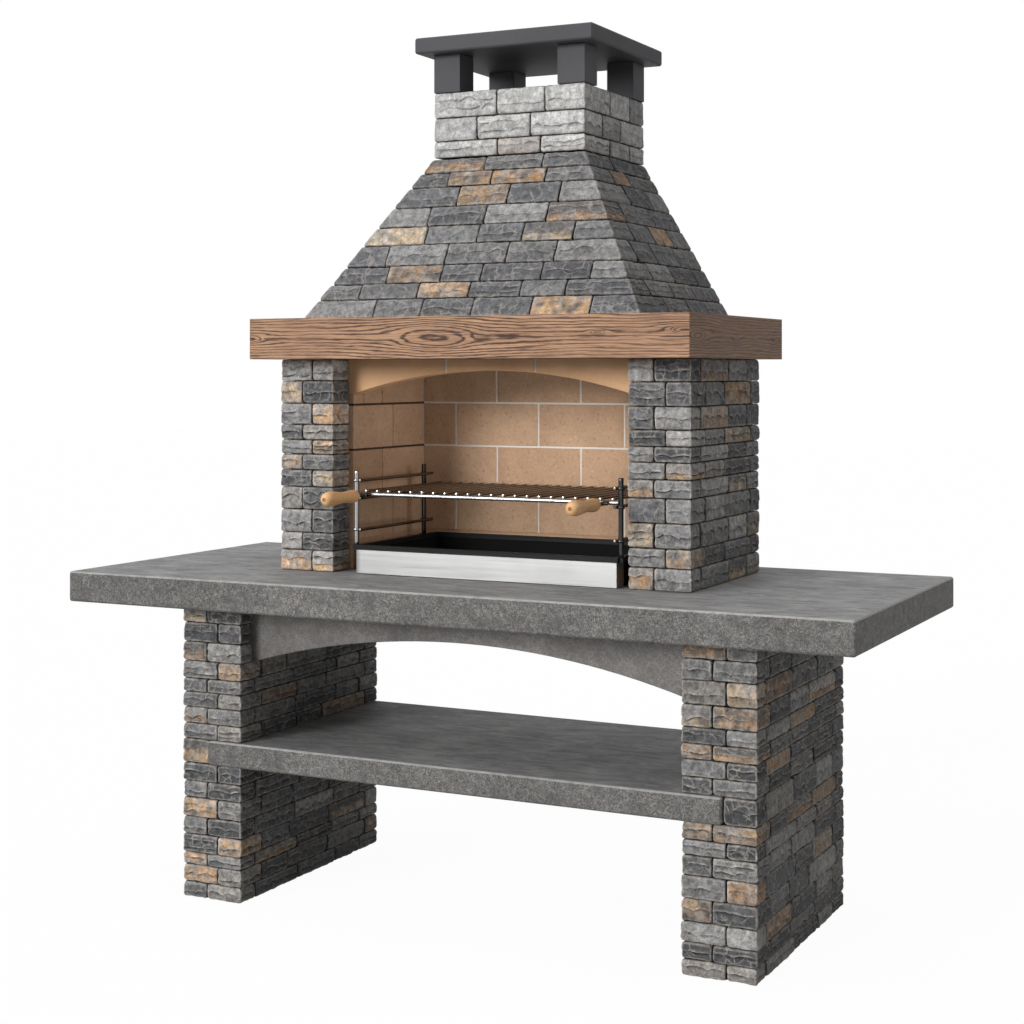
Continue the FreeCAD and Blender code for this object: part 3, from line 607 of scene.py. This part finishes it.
def spread(length, edge, step, both_ends):
    """Distances along a run, close together where its ends are rounded."""
    edge = min(edge, length * 0.3)
    near = [part * edge for part in ARRIS_PARTS]
    end = length - edge if both_ends else length
    count = max(1, round((end - edge) / step))
    middle = [edge + (end - edge) * k / count for k in range(count + 1)]
    far = [length - d for d in reversed(near)] if both_ends else []
    return near + middle + far


def rounded_path(path, cuts, radius):
    """Points along an edge, with a small curve where it turns a corner."""
    if len(path) == 2:
        return [path[0].lerp(path[1], f) for f in cuts[0]]
    start, corner, end = path
    turn_in = corner + (start - corner).normalized() * radius
    turn_out = corner + (end - corner).normalized() * radius
    points = [start.lerp(turn_in, f) for f in cuts[0]]
    for t in (0.25, 0.5, 0.75):
        points.append(turn_in * (1 - t) ** 2 + corner * 2 * t * (1 - t) + turn_out * t * t)
    points += [end.lerp(turn_out, f) for f in reversed(cuts[1])]
    return points


def edge_cuts(path, look):
    """Where the points lie along each run of an edge, as parts of its length."""
    if len(path) == 2:
        length = (path[1] - path[0]).length
        return [[d / length for d in spread(length, look["edge"], look["step"], True)]]
    cuts = []
    for end in (path[0], path[2]):
        run = (path[1] - end).length - look["corner"]
        cuts.append([d / run for d in spread(run, look["edge"], look["step"], False)])
    return cuts


def round_off(distance, radius):
    """How far a rounded arris lies behind the face at a distance from the edge."""
    if distance >= radius:
        return 0.0
    return radius - math.sqrt(max(0.0, radius ** 2 - (radius - distance) ** 2))


class SplitLine:
    """A line along which a stone has split: arcs end to end, each with its sag, depth and shade."""

    def __init__(self, level, length, height, look, chance):
        count = max(1, round(length / look["arc"] + chance.uniform(-0.5, 0.5)))
        inner = [length * (k + chance.uniform(-0.3, 0.3)) / count for k in range(1, count)]
        self.ends = [0.0, *inner, length]
        self.level = level
        self.arcs = []
        for _ in range(count):
            sag = height * chance.uniform(0.05, 0.24) * (1 if chance.random() < 0.75 else -0.6)
            self.arcs.append((sag, look["relief"] * chance.uniform(0.35, 1.0), chance.uniform(-0.10, 0.12)))

    def at(self, s):
        """Height of the line, depth of the ledge and shade under it, at a distance along the stone."""
        k = 0
        while k < len(self.arcs) - 1 and s > self.ends[k + 1]:
            k += 1
        t = (s - self.ends[k]) / (self.ends[k + 1] - self.ends[k])
        hump = 4 * t * (1 - t)
        sag, depth, shade = self.arcs[k]
        return self.level + sag * (hump - 0.5), depth * (0.3 + 0.7 * math.sqrt(max(0.0, hump))), shade


def split_levels(look, chance):
    """Levels of a stone's split lines, as parts of its height."""
    count = chance.choices((0, 1, 2), look["splits"])[0]
    if count == 1:
        return [chance.uniform(0.36, 0.62)]
    return [chance.uniform(0.26, 0.38), chance.uniform(0.60, 0.72)][:count]


def layer_warmth(warm_layers, layer, chance):
    """How warm a layer is, in a stone with all, only its lowest, or none of its layers warm."""
    if warm_layers == "all":
        return chance.uniform(0.62, 0.95)
    if warm_layers == "lowest":
        return 0.9 if layer == 0 else 0.1
    return 0.0


class Stone:
    """One stone: layers that end in ledges, rounded arrises, and plain sides back to its bed."""

    def __init__(self, low, high, outward, look, colours, chance):
        self.look = look
        self.outward = outward
        self.grey, self.warm, warm_layers = colours
        # Near black: painted shade in the joints between stones and on their hidden backs
        self.near_black = blend(self.grey, BLACK, 0.85)
        cuts = edge_cuts(low, look)
        self.bottom = rounded_path(low, cuts, look["corner"])
        self.top = rounded_path(high, cuts, look["corner"])
        self.along = [0.0]
        for a, b in zip(self.bottom, self.bottom[1:]):
            self.along.append(self.along[-1] + (b - a).length)
        self.length = self.along[-1]
        self.height = (self.top[0] - self.bottom[0]).length
        self.turn = (low[1] - low[0]).length if len(low) == 3 else math.inf
        self.shift = Vector([chance.uniform(-50, 50) for _ in range(3)])
        self.proud = chance.uniform(-0.3, 0.0) * look["relief"]
        self.edge = look["edge"] * chance.uniform(0.8, 1.25)
        levels = split_levels(look, chance)
        self.lines = [SplitLine(level * self.height, self.length, self.height, look, chance)
                      for level in levels]
        marks = [0.0, *levels, 1.0]
        self.counts = [max(2, round((b - a) * self.height / look["rise"])) for a, b in zip(marks, marks[1:])]
        top_layer = len(levels)
        self.warmths = [layer_warmth(warm_layers, k, chance) for k in range(top_layer + 1)]
        # Painted shade on the layers under a ledge and painted light on the top layer, over a random shade
        self.shades = [chance.uniform(-0.08, 0.08) + (0.10 if k < top_layer else -0.06)
                       for k in range(top_layer + 1)]

    def wave(self, s, h, size):
        return noise.noise(Vector((s / size[0], h / size[1], 0.0)) + self.shift)

    def rows(self, s, fade):
        """The points of one column. Each has its height, set-back, shade, warmth, and how near it is to
        the ledge over it and to the one under it."""
        rim = self.look["edge"]
        relief = self.look["relief"]
        found = [line.at(s) for line in self.lines]
        bounds = [rim]
        for level, _, _ in found:
            level += LEDGE_WAVER * self.wave(s, level, WAVER_SIZE)
            bounds.append(min(self.height - rim - LAYER_LEAST, max(bounds[-1] + LAYER_LEAST, level)))
        bounds.append(self.height - rim)
        depths = [depth * fade for _, depth, _ in found]
        lean = TOP_LEAN * relief * fade
        arris = [part * rim for part in ARRIS_PARTS]
        rows = [(d, 0.0, self.shades[0], self.warmths[0], 0.0, 0.0) for d in arris]
        for k, count in enumerate(self.counts):
            under_ledge = k < len(found)
            start = bounds[k] + (LEDGE_HALF if k else 0.0)
            end = bounds[k + 1] - (LEDGE_HALF if under_ledge else 0.0)
            back = depths[k] if under_ledge else lean
            shade = self.shades[k] + (found[k][2] if under_ledge else 0.0)
            for j in range(count + 1):
                u = j / count
                h = start + (end - start) * u
                # Painted shadow under a ledge and painted highlight over one
                below = smooth(DARK_UNDER, 0.0, end - h) * depths[k] / relief if under_ledge else 0.0
                above = smooth(PALE_OVER, 0.0, h - start) * depths[k - 1] / relief if k else 0.0
                rows.append((h, back * u ** 1.5, shade, self.warmths[k], below, above))
        for d in reversed(arris):
            rows.append((self.height - d, lean, self.shades[-1], self.warmths[-1], 0.0, 0.0))
        return rows

    def depth(self, s, h, back, to_end, to_bed):
        """How far the face stands out at a point."""
        swell = self.look["swell"] * self.wave(s, h + 2.0, SWELL_SIZE) * smooth(0.0, SWELL_FADE, to_end)
        grit = GRIT_DEPTH * self.wave(s, h + 3.0, GRIT_SIZE)
        chipped = self.edge * (1 + 0.6 * self.wave(s, h, CHIP_SIZE))
        drop = round_off(to_end, chipped) + round_off(to_bed, chipped)
        if to_end < CORNER_ROUND and to_bed < CORNER_ROUND:
            beyond = math.hypot(CORNER_ROUND - to_end, CORNER_ROUND - to_bed) - CORNER_ROUND
            drop += max(0.0, beyond) * 2.5
        return self.proud + (swell + (grit - back)) - drop

    def insets(self, s, h, to_end, to_bed):
        """How far a point near a joint moves along the stone and up it, so that joints are uneven."""
        fade_end = max(0.0, 1 - to_end / JOINT_FADE) * (1 if s < self.length / 2 else -1)
        fade_bed = max(0.0, 1 - to_bed / JOINT_FADE) * (1 if h < self.height / 2 else -1)
        return (JOINT_FILL * (1.6 * self.wave(0.7, h, END_SIZE) - 1) * fade_end,
                JOINT_FILL * (1.6 * self.wave(s, 0.7, BED_SIZE) - 1) * fade_bed)

    def tint(self, s, row, to_end, to_bed, to_turn):
        """Colour of a point: painted shadow under ledges and painted shade in the joints, pale arrises that
        stand for wear and a painted highlight, and a painted highlight over ledges.
        """
        h, _, shade, warmth, below, above = row
        mottle = self.wave(s, h + 4.0, MOTTLE_SIZE)
        tint = blend(self.grey, self.warm, min(1.0, max(0.0, warmth + 0.9 * mottle * (warmth > 0.5))))
        tint = blend(tint, BLACK, shade - 0.14 * mottle)
        # Painted shadow under a ledge
        tint = blend(tint, BLACK, self.look["shadow"] * below)
        # Pale arrises, part wear and part painted highlight, and the painted highlight over a ledge
        wear_and_highlight = max(smooth(PALE_ARRIS_FROM, PALE_ARRIS_TO, min(to_end, to_bed, to_turn)) * 0.75, above)
        wear_and_highlight = wear_and_highlight * self.look["wear_and_highlight"] * (1 + self.wave(s, h, PALE_ARRIS_SIZE))
        tint = blend(tint, PALE_EDGE, max(0.0, wear_and_highlight))
        # Painted shade in the joints
        painted_joint_shade = max(smooth(self.look["joint"], END_BLACK, to_end), smooth(BED_DARK, 0.0, to_bed))
        return blend(tint, self.near_black, painted_joint_shade)

    def add_to(self, patches):
        """Columns of points along the stone, each with two more at its back, and the faces between them."""
        grid = []
        backs = []
        last = len(self.bottom) - 1
        for i, s in enumerate(self.along):
            foot = self.bottom[i]
            head = self.top[i]
            tangent = (self.bottom[min(i + 1, last)] - self.bottom[max(i - 1, 0)]).normalized()
            rise = (head - foot).normalized()
            normal = tangent.cross(rise).normalized()
            if normal.dot(self.outward) < 0:
                normal.negate()
            to_end = min(s, self.length - s)
            to_turn = abs(s - self.turn)
            fade = smooth(*FADE_FROM_END, to_end) * (0.3 + 0.7 * smooth(0.0, FADE_FROM_TURN, to_turn))
            column = []
            for row in self.rows(s, fade):
                h, back = row[:2]
                to_bed = min(h, self.height - h)
                sideways, upwards = self.insets(s, h, to_end, to_bed)
                place = foot.lerp(head, h / self.height) + tangent * sideways + rise * upwards
                place = place + normal * self.depth(s, h, back, to_end, to_bed)
                column.append(patches.point(place, self.tint(s, row, to_end, to_bed, to_turn)))
            grid.append(column)
            bed = normal * self.look["depth"]
            backs.append((patches.point(foot - bed, self.near_black), patches.point(head - bed, self.near_black)))
        for (left, right), (back_left, back_right) in zip(zip(grid, grid[1:]), zip(backs, backs[1:])):
            for j in range(len(left) - 1):
                patches.faces.append((left[j], right[j], right[j + 1], left[j + 1]))
            patches.faces.append((left[0], right[0], back_right[0], back_left[0]))
            patches.faces.append((left[-1], right[-1], back_right[1], back_left[1]))
            patches.faces.append((back_left[0], back_right[0], back_right[1], back_left[1]))
        for column, back in ((grid[0], backs[0]), (grid[-1], backs[-1])):
            patches.faces.append((*column, back[1], back[0]))


def touched_sides(points, node_box, allowed):
    """The outer sides of a clad part that a stone lies on."""
    box = box_of(points)
    return [(axis, sign) for axis, sign in allowed
            if abs(box[sign > 0][axis] - node_box[sign > 0][axis]) < 0.001]


def distance_to(points, axes, place):
    """Distance from a place on a face to a stone's box there."""
    low, high = box_of(points)
    return math.hypot(*(max(low[a] - p, 0.0, p - high[a]) for a, p in zip(axes, place)))


def warm_stones(node, stones, sides):
    """Numbers of the stones that lie nearest to the places of the warm ones."""
    found = set()
    for side, places in WARM_PLACES.get(node, {}).items():
        facing = [k for k in range(len(stones)) if side in sides[k]]
        axes = (1 - side[0], 2)
        for place in places:
            found.add(min(facing, key=lambda k: distance_to(stones[k], axes, place)))
    return found


def clad(node, sides_of, look, finish):
    """All the stones of one CAD node, as one piece. A finish is a surface, its slot, greys and shares; the
    slot is not used.
    """
    surface, slot, greys, shares = finish
    chance = random.Random(node)
    stones = islands(node)
    all_sides = [sides_of(points) for points in stones]
    warm = warm_stones(node, stones, all_sides)
    # The part's painted light and shade, as a blend towards black
    darker = 1 - PAINTED_LIGHT_FACTOR.get(node, 1.0)
    near = 0.0005
    patches = Patches()
    for number, (points, sides) in enumerate(zip(stones, all_sides)):
        low_z = min(p.z for p in points)
        high_z = max(p.z for p in points)
        low = outer_edge([p for p in points if p.z < low_z + near], sides)
        high = outer_edge([p for p in points if p.z > high_z - near], sides)
        outward = Vector((0, 0, 0))
        for axis, sign in sides:
            outward[axis] = sign
        unseen = FRONT not in sides and RIGHT not in sides
        if number in warm or (unseen and chance.random() < WARM_SHARE_UNSEEN):
            warm_layers = "all" if chance.random() < WARM_ALL_OVER else "lowest"
        else:
            warm_layers = "none"
        grey = chance.choices(greys, shares)[0]
        # Each stone's tints take the part's painted light and shade
        grey = blend(grey, BLACK, darker + chance.uniform(-0.06, 0.10))
        rust = blend(chance.choice(WARMS), BLACK, darker)
        own_look = dict(look)
        if node == "chimney_stones":
            rust = blend(rust, grey, CHIMNEY_FADE)
        if FRONT not in sides:
            rust = blend(rust, grey, SIDE_FADE)
            own_look["relief"] *= SIDE_RELIEF
            own_look["shadow"] *= SIDE_RELIEF
            own_look["joint"] *= SIDE_JOINT
        if unseen:
            own_look["step"] *= look["far"]
            own_look["rise"] *= look["far"]
        Stone(low, high, outward, own_look, (grey, rust, warm_layers), chance).add_to(patches)
    name = node.replace("stones", "rock")
    add_piece(name, patches.mesh(name), surface, "masonry", [node])


def clad_walls(node, allowed, look, finish):
    """Upright walls: a stone's sides are those of the node's box that it touches."""
    node_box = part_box(node)
    clad(node, lambda points: touched_sides(points, node_box, allowed), look, finish)


def hip_sides(points):
    """The two faces of the hood that meet at a hip stone."""
    low, high = box_of(points)
    middle = (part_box("hood_hip_stones")[0][1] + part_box("hood_hip_stones")[1][1]) / 2
    return [RIGHT if low.x + high.x > 0 else LEFT, REAR if (low.y + high.y) / 2 > middle else FRONT]


def stone_work():
    """All the cladding."""
    ledgestone = stone_surface("ledgestone", size=0.026, mottled=0.48, lines=0.54, depth=0.0060)
    slate = stone_surface("slate", size=0.034, mottled=0.44, lines=0.52, depth=0.0064)
    pale = stone_surface("pale_stone", size=0.026, mottled=0.36, lines=0.34, depth=0.0065)
    wall = (ledgestone, "slate", GREYS, GREY_SHARES)
    hood = (slate, "slate", SLATE_GREYS, SLATE_SHARES)
    for side in ("left", "right"):
        clad_walls(side + "_leg_stones", ALL_SIDES, LEG_STONE, wall)
        clad_walls(side + "_pillar_stones", ALL_SIDES, LEDGESTONE, wall)
    clad_walls("back_wall_stones", (LEFT, RIGHT, REAR), LEDGESTONE, wall)
    clad_walls("chimney_stones", ALL_SIDES, PALE_STONE, (pale, "pale_stone", PALE_GREYS, PALE_SHARES))
    for face, side in (("front", FRONT), ("back", REAR), ("left", LEFT), ("right", RIGHT)):
        clad("hood_stones_" + face, lambda points: [side], SLATE, hood)
    clad("hood_hip_stones", hip_sides, HIP_STONE, hood)


def dress(node, surface, rounding=0.0, segments=2):
    """A carried-over CAD node takes a procedural material, and small rounded edges if they have a width."""
    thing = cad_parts[node]
    thing.data.materials.clear()
    thing.data.materials.append(surface)
    if rounding:
        weld = thing.modifiers.new("weld", "WELD")
        weld.merge_threshold = 0.00005
        bevel = thing.modifiers.new("bevel", "BEVEL")
        bevel.width = rounding
        bevel.segments = segments
        bevel.limit_method = "ANGLE"
        bevel.angle_limit = math.radians(30)
        bevel.harden_normals = True


def brick_work():
    """Firebricks with softened arrises and a tint of their own, and the arch."""
    surface = firebrick_surface("firebrick")
    for node in ("back_firebricks", "left_firebricks", "right_firebricks"):
        chance = random.Random(node)
        shape = bmesh.new()
        tints = shape.verts.layers.float_color.new("Tint")
        for low, high in boxes(node):
            tint = blend(tone(198, 165, 136), tone(184, 150, 121), chance.random())
            made = bmesh.ops.create_cube(shape, size=1.0)["verts"]
            for vertex in made:
                vertex.co = Vector([low[a] + (vertex.co[a] + 0.5) * (high[a] - low[a]) for a in range(3)])
            edges = list({edge for vertex in made for edge in vertex.link_edges})
            bevelled = bmesh.ops.bevel(shape, geom=edges, offset=BRICK_EDGE, segments=3, profile=0.6,
                                       affect="EDGES")
            for vertex in bevelled["verts"]:
                vertex[tints] = tint
                vertex.co += Vector([BRICK_UNEVEN] * 3) * noise.noise(vertex.co * 40)
        mesh = bpy.data.meshes.new(node + "_dressed")
        shape.to_mesh(mesh)
        shape.free()
        add_piece(node + "_dressed", mesh, surface, "masonry", [node])
    clay = arch_surface("firebrick_arch")
    for name in ("arch_left", "arch_centre", "arch_right"):
        dress(name, clay, rounding=0.002, segments=3)


def masonry_bodies():
    """Concrete, timber, mortar and hidden cores keep their CAD shapes."""
    slab = concrete_surface("concrete", tone(146, 145, 145), tone(85, 84, 83), threads=0.50, clouds=0.20)
    cast = concrete_surface("cast_concrete", tone(130, 128, 126), tone(110, 107, 105), threads=0.35,
                            clouds=0.36)
    mortar = grainy_surface("mortar", *PALE_MORTAR, scale=160, depth=0.0006, roughness=0.9)
    core = grainy_surface("blockwork", tone(44, 42, 40), tone(62, 59, 56), scale=120, depth=0.0008,
                          roughness=0.92)
    anthracite = grainy_surface("anthracite", tone(80, 80, 83), tone(89, 89, 92), scale=420, depth=0.0002,
                                roughness=0.6)
    for node in ("worktop", "lower_shelf"):
        dress(node, slab, rounding=0.003, segments=3)
    for node in ("apron", "lintel_back"):
        dress(node, cast, rounding=0.003)
    middle = (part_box("mantel_front")[0][2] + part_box("mantel_front")[1][2]) / 2
    for node, ((axis, sign), shade, knots) in BEAMS.items():
        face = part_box(node)[sign > 0][axis]
        knots = [(along, middle + over, size) for along, over, size in knots]
        timber = timber_surface(node + "_timber", axis == 0, face, knots, shade)
        dress(node, timber, rounding=0.003, segments=3)
    for node in ("cap_posts", "cap_slab"):
        dress(node, anthracite, rounding=0.002)
    for node in ("right_mortar", "arch_mortar"):
        dress(node, mortar)
    back = joint_surface("back_joints", "back_firebricks", (0.0, 0.95), PALE_MORTAR, BRICK_MORTAR)
    # The upper beds of the left lining are near black, a painted shade in raked grooves
    left = joint_surface("left_joints", "left_firebricks", (1.05, 2.0), BRICK_MORTAR, PAINTED_GROOVE_SHADE)
    dress("back_mortar", back)
    dress("left_mortar", left)
    for node in ("left_leg_core", "right_leg_core", "left_pillar_core", "right_pillar_core",
                 "back_wall_core", "lintel_front", "lintel_left", "lintel_right", "flue_walls",
                 "hood_shell_front", "hood_shell_back", "hood_shell_left", "hood_shell_right"):
        dress(node, core)


def even_tint(shade):
    return lambda distance: (shade, shade, shade, 1.0)


def lathe(patches, start, axis, profile, sides, tint_of):
    """A turned solid: rings of points at (distance, radius) along an axis from start."""
    across = Vector((0, 1, 0)) if abs(axis.x) > 0.5 else Vector((1, 0, 0))
    up = axis.cross(across).normalized()
    rings = []
    for distance, radius in profile:
        ring = []
        for k in range(sides):
            angle = 2 * math.pi * k / sides
            out = across * (radius * math.cos(angle)) + up * (radius * math.sin(angle))
            ring.append(patches.point(start + axis * distance + out, tint_of(distance)))
        rings.append(ring)
    for low, high in zip(rings, rings[1:]):
        for k in range(sides):
            patches.faces.append((low[k], low[(k + 1) % sides], high[(k + 1) % sides], high[k]))
    return rings


def turned(patches, start, axis, profile, sides, tint_of=even_tint(1.0)):
    """A turned solid with flat ends."""
    rings = lathe(patches, start, axis, profile, sides, tint_of)
    patches.faces.append(tuple(rings[0]))
    patches.faces.append(tuple(rings[-1]))


def rod_profile(length, radius):
    """Rod with a small rounded end at each side, and rings where its tint can change."""
    ease = radius * 0.3
    near = [(0.0, radius - ease), (ease * 0.3, radius - ease * 0.3), (ease, radius)]
    near += [(distance, radius) for distance in (0.008, 0.010, 0.020, 0.022)]
    return near + [(length - distance, size) for distance, size in reversed(near)]


def post_tint(low, high):
    """The left front post is bright, the others are blackened."""
    return even_tint(0.5 if low.x < 0 and low.y < 0 else 0.08)


def fired_tint(low, high):
    """Grill rods are brown from the fire, with a painted highlight at each end."""
    length = high.y - low.y

    def tint_of(distance):
        # Painted highlights at the ends
        bright = distance < PAINTED_HIGHLIGHT_FRONT or distance > length - PAINTED_HIGHLIGHT_REAR
        return WHITE if bright else (0.24, 0.21, 0.18, 1.0)

    return tint_of


def rods(node, piece, surface, body, tint_for):
    """Round rods in place of the many-sided ones of a CAD node."""
    patches = Patches()
    for low, high in boxes(node):
        size = high - low
        long_axis = max(range(3), key=lambda a: size[a])
        radius = min(size[a] for a in range(3) if a != long_axis) / 2
        start = (low + high) / 2
        start[long_axis] = low[long_axis]
        axis = Vector((0, 0, 0))
        axis[long_axis] = 1.0
        turned(patches, start, axis, rod_profile(size[long_axis], radius), 20, tint_for(low, high))
    add_piece(piece, patches.mesh(piece), surface, body, [node])


def collars(node, piece, surface):
    """Rings on the posts, with rounded rims."""
    patches = Patches()
    for low, high in boxes(node):
        height = high.z - low.z
        outer = (high.x - low.x) / 2
        start = Vector(((low.x + high.x) / 2, (low.y + high.y) / 2, low.z))
        ease = 0.001
        inner = outer - COLLAR_WALL
        profile = ((0.0, inner), (0.0, outer - ease), (ease, outer), (height - ease, outer),
                   (height, outer - ease), (height, inner), (0.0, inner))
        lathe(patches, start, Vector((0, 0, 1)), profile, 24, post_tint(low, high))
    add_piece(piece, patches.mesh(piece), surface, "ember_box", [node])


def curve_through(points, count):
    """Points on a smooth curve through a list of pairs."""
    padded = (points[0], *points, points[-1])
    result = []
    for spots in zip(padded, padded[1:], padded[2:], padded[3:]):
        for t in (step / count for step in range(count)):
            pair = []
            for before, a, b, after in zip(*spots):
                slope_a = (b - before) / 2
                slope_b = (after - a) / 2
                rise = b - a
                pair.append(a + slope_a * t + (3 * rise - 2 * slope_a - slope_b) * t * t
                            + (slope_a + slope_b - 2 * rise) * t ** 3)
            result.append(tuple(pair))
    return result + [points[-1]]


def grip_tint(distance):
    """The end face of a grip is darker than its sides."""
    end = GRIP_PROFILE[-1][0]
    return tone(170, 140, 110) if distance > end - 0.0006 else WHITE


def handles(beech, steel):
    """Two turned grips with a small hole at the tip, on round shanks with a bolt across each."""
    tip = GRIP_PROFILE[-1][0]
    hole = [(tip, GRIP_HOLE + 0.0008), (tip - 0.0004, GRIP_HOLE),
            (tip - GRIP_HOLE_DEPTH, GRIP_HOLE * 0.6), (tip - GRIP_HOLE_DEPTH, 0.0002)]
    profile = [(0.0, GRIP_SOCKET)] + curve_through(GRIP_PROFILE, 5)[:-1] + hole
    for node in ("left_grip", "right_grip"):
        low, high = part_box(node)
        start = Vector(((low[0] + high[0]) / 2, high[1], (low[2] + high[2]) / 2))
        patches = Patches()
        lathe(patches, start, Vector((0, -1, 0)), profile, 40, grip_tint)
        add_piece(node + "_turned", patches.mesh(node + "_turned"), beech, "grill", [node])
    patches = Patches()
    for low, high in boxes("handle_shanks"):
        centre = (low + high) / 2
        radius = (high.z - low.z) / 2
        bar_end = Vector((centre.x, high.y, centre.z))
        turned(patches, bar_end, Vector((0, -1, 0)), rod_profile(high.y - low.y, radius), 24)
        nut = Vector((low.x, high.y + 0.001 - BOLT_FROM_BAR, centre.z))
        turned(patches, nut, Vector((1, 0, 0)), rod_profile(high.x - low.x, BOLT_RADIUS), 16)
    name = "handle_shanks_round"
    add_piece(name, patches.mesh(name), steel, "grill", ["handle_shanks"])


def steel_work():
    """Tray, rack, grill and handles."""
    stainless = metal_surface("stainless", tone(151, 151, 151), tone(157, 157, 156), roughness=0.36,
                              brush=(1, 40, 60), bent_end=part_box("tray_fascia")[0][0])
    bright = metal_surface("bright_steel", tone(190, 190, 192), tone(226, 226, 228), roughness=0.22,
                           brush=(30, 30, 2))
    dark = metal_surface("dark_steel", tone(94, 87, 80), tone(134, 125, 116), roughness=0.3,
                         brush=(30, 2, 30))
    black = grainy_surface("black_paint", tone(19, 19, 20), tone(26, 26, 27), scale=300, depth=0.0002,
                           roughness=0.5)
    near_black = grainy_surface("near_black", tone(17, 17, 17), tone(23, 23, 23), scale=200, depth=0.0003, roughness=0.8,
                          specular=0.10)
    beech = beech_surface("beech")
    for node, paint in (("ember_tray", near_black), ("tray_runners", near_black), ("tray_rim", black)):
        dress(node, paint, rounding=0.0008)
    dress("tray_fascia", stainless, rounding=0.0006)
    rods("rack_posts", "rack_posts_round", bright, "ember_box", post_tint)
    rods("rack_rails", "rack_rails_round", dark, "ember_box",
         lambda low, high: even_tint(1.0))
    collars("rack_clips", "rack_collars", bright)
    rods("grill_bars", "grill_bars_round", bright, "grill", lambda low, high: even_tint(0.72))
    rods("grill_rods", "grill_rods_round", bright, "grill", fired_tint)
    handles(beech, dark)


def floor():
    """White paper that takes only a faint shadow."""
    reach = 30.0
    corners = [(-reach, -reach, 0), (reach, -reach, 0), (reach, reach, 0), (-reach, reach, 0)]
    mesh = bpy.data.meshes.new("floor")
    mesh.from_pydata(corners, [], [(0, 1, 2, 3)])
    ground = add_object("floor", mesh)
    skin = Surface("floor_paper", 0.95, specular=0.0)
    cloud = skin.noise(skin.place(), 3, 2)
    paper = skin.mix(cloud, tone(182, 182, 182), tone(186, 186, 186))
    skin.feed(skin.shader.inputs["Base Color"], paper)
    white = skin.add("Emission", {"Color": WHITE, "Strength": 1.07})
    skin.show("Material Output", skin.seen() * 0.90, Value(skin, skin.shader.outputs[0]), white)
    mesh.materials.append(skin.material)


def sky(strength):
    """Even soft light; white where the camera and the metal see past the object."""
    world = bpy.data.worlds.new("studio")
    bpy.context.scene.world = world
    nodes = Nodes(world)
    soft = nodes.add("Background", {"Color": WHITE, "Strength": strength})
    white = nodes.add("Background", {"Color": WHITE, "Strength": 1.0})
    nodes.show("World Output", nodes.seen(), soft, white)


def aim(thing, towards):
    thing.rotation_euler = Vector(towards).to_track_quat("-Z", "Y").to_euler()


def lamp(name, towards, strength, softness):
    """A wide soft light that shines along a direction, even over the whole object."""
    light = bpy.data.lights.new(name, "SUN")
    light.energy = strength * math.pi
    light.angle = math.radians(softness)
    aim(add_object(name, light), towards)


def hearth_fill():
    """Soft light inside the hearth mouth, on the left lining; the camera and the metal don't see it."""
    light = bpy.data.lights.new("hearth_fill", "AREA")
    light.energy = 0.62
    light.shape = "RECTANGLE"
    light.size = 0.30
    light.size_y = 0.40
    light.spread = math.radians(110)
    thing = add_object("hearth_fill", light)
    low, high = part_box("back_firebricks")
    thing.location = (high[0] * 0.7, (low[1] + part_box("tray_rim")[0][1]) / 2, (low[2] + high[2]) / 2)
    aim(thing, (-1, 0.15, 0))
    thing.visible_camera = False
    thing.visible_glossy = False


def camera():
    """The photograph's own view."""
    lens = bpy.data.cameras.new("camera")
    lens.sensor_width = CAMERA_SENSOR
    lens.lens = CAMERA_LENS
    lens.shift_y = CAMERA_SHIFT_Y
    lens.clip_end = 100
    thing = add_object("camera", lens)
    thing.location = CAMERA_PLACE
    thing.rotation_euler = (math.radians(90), 0, CAMERA_TURN)
    bpy.context.scene.camera = thing


camera()
stone_work()
brick_work()
masonry_bodies()
steel_work()
floor()
sky(strength=0.205)
lamp("key", towards=(0.355, 0.91, -0.23), strength=0.70, softness=20)
lamp("overhead", towards=(0.05, 0.30, -0.95), strength=0.30, softness=60)
hearth_fill()
bpy.context.scene.view_settings.view_transform = "Standard"
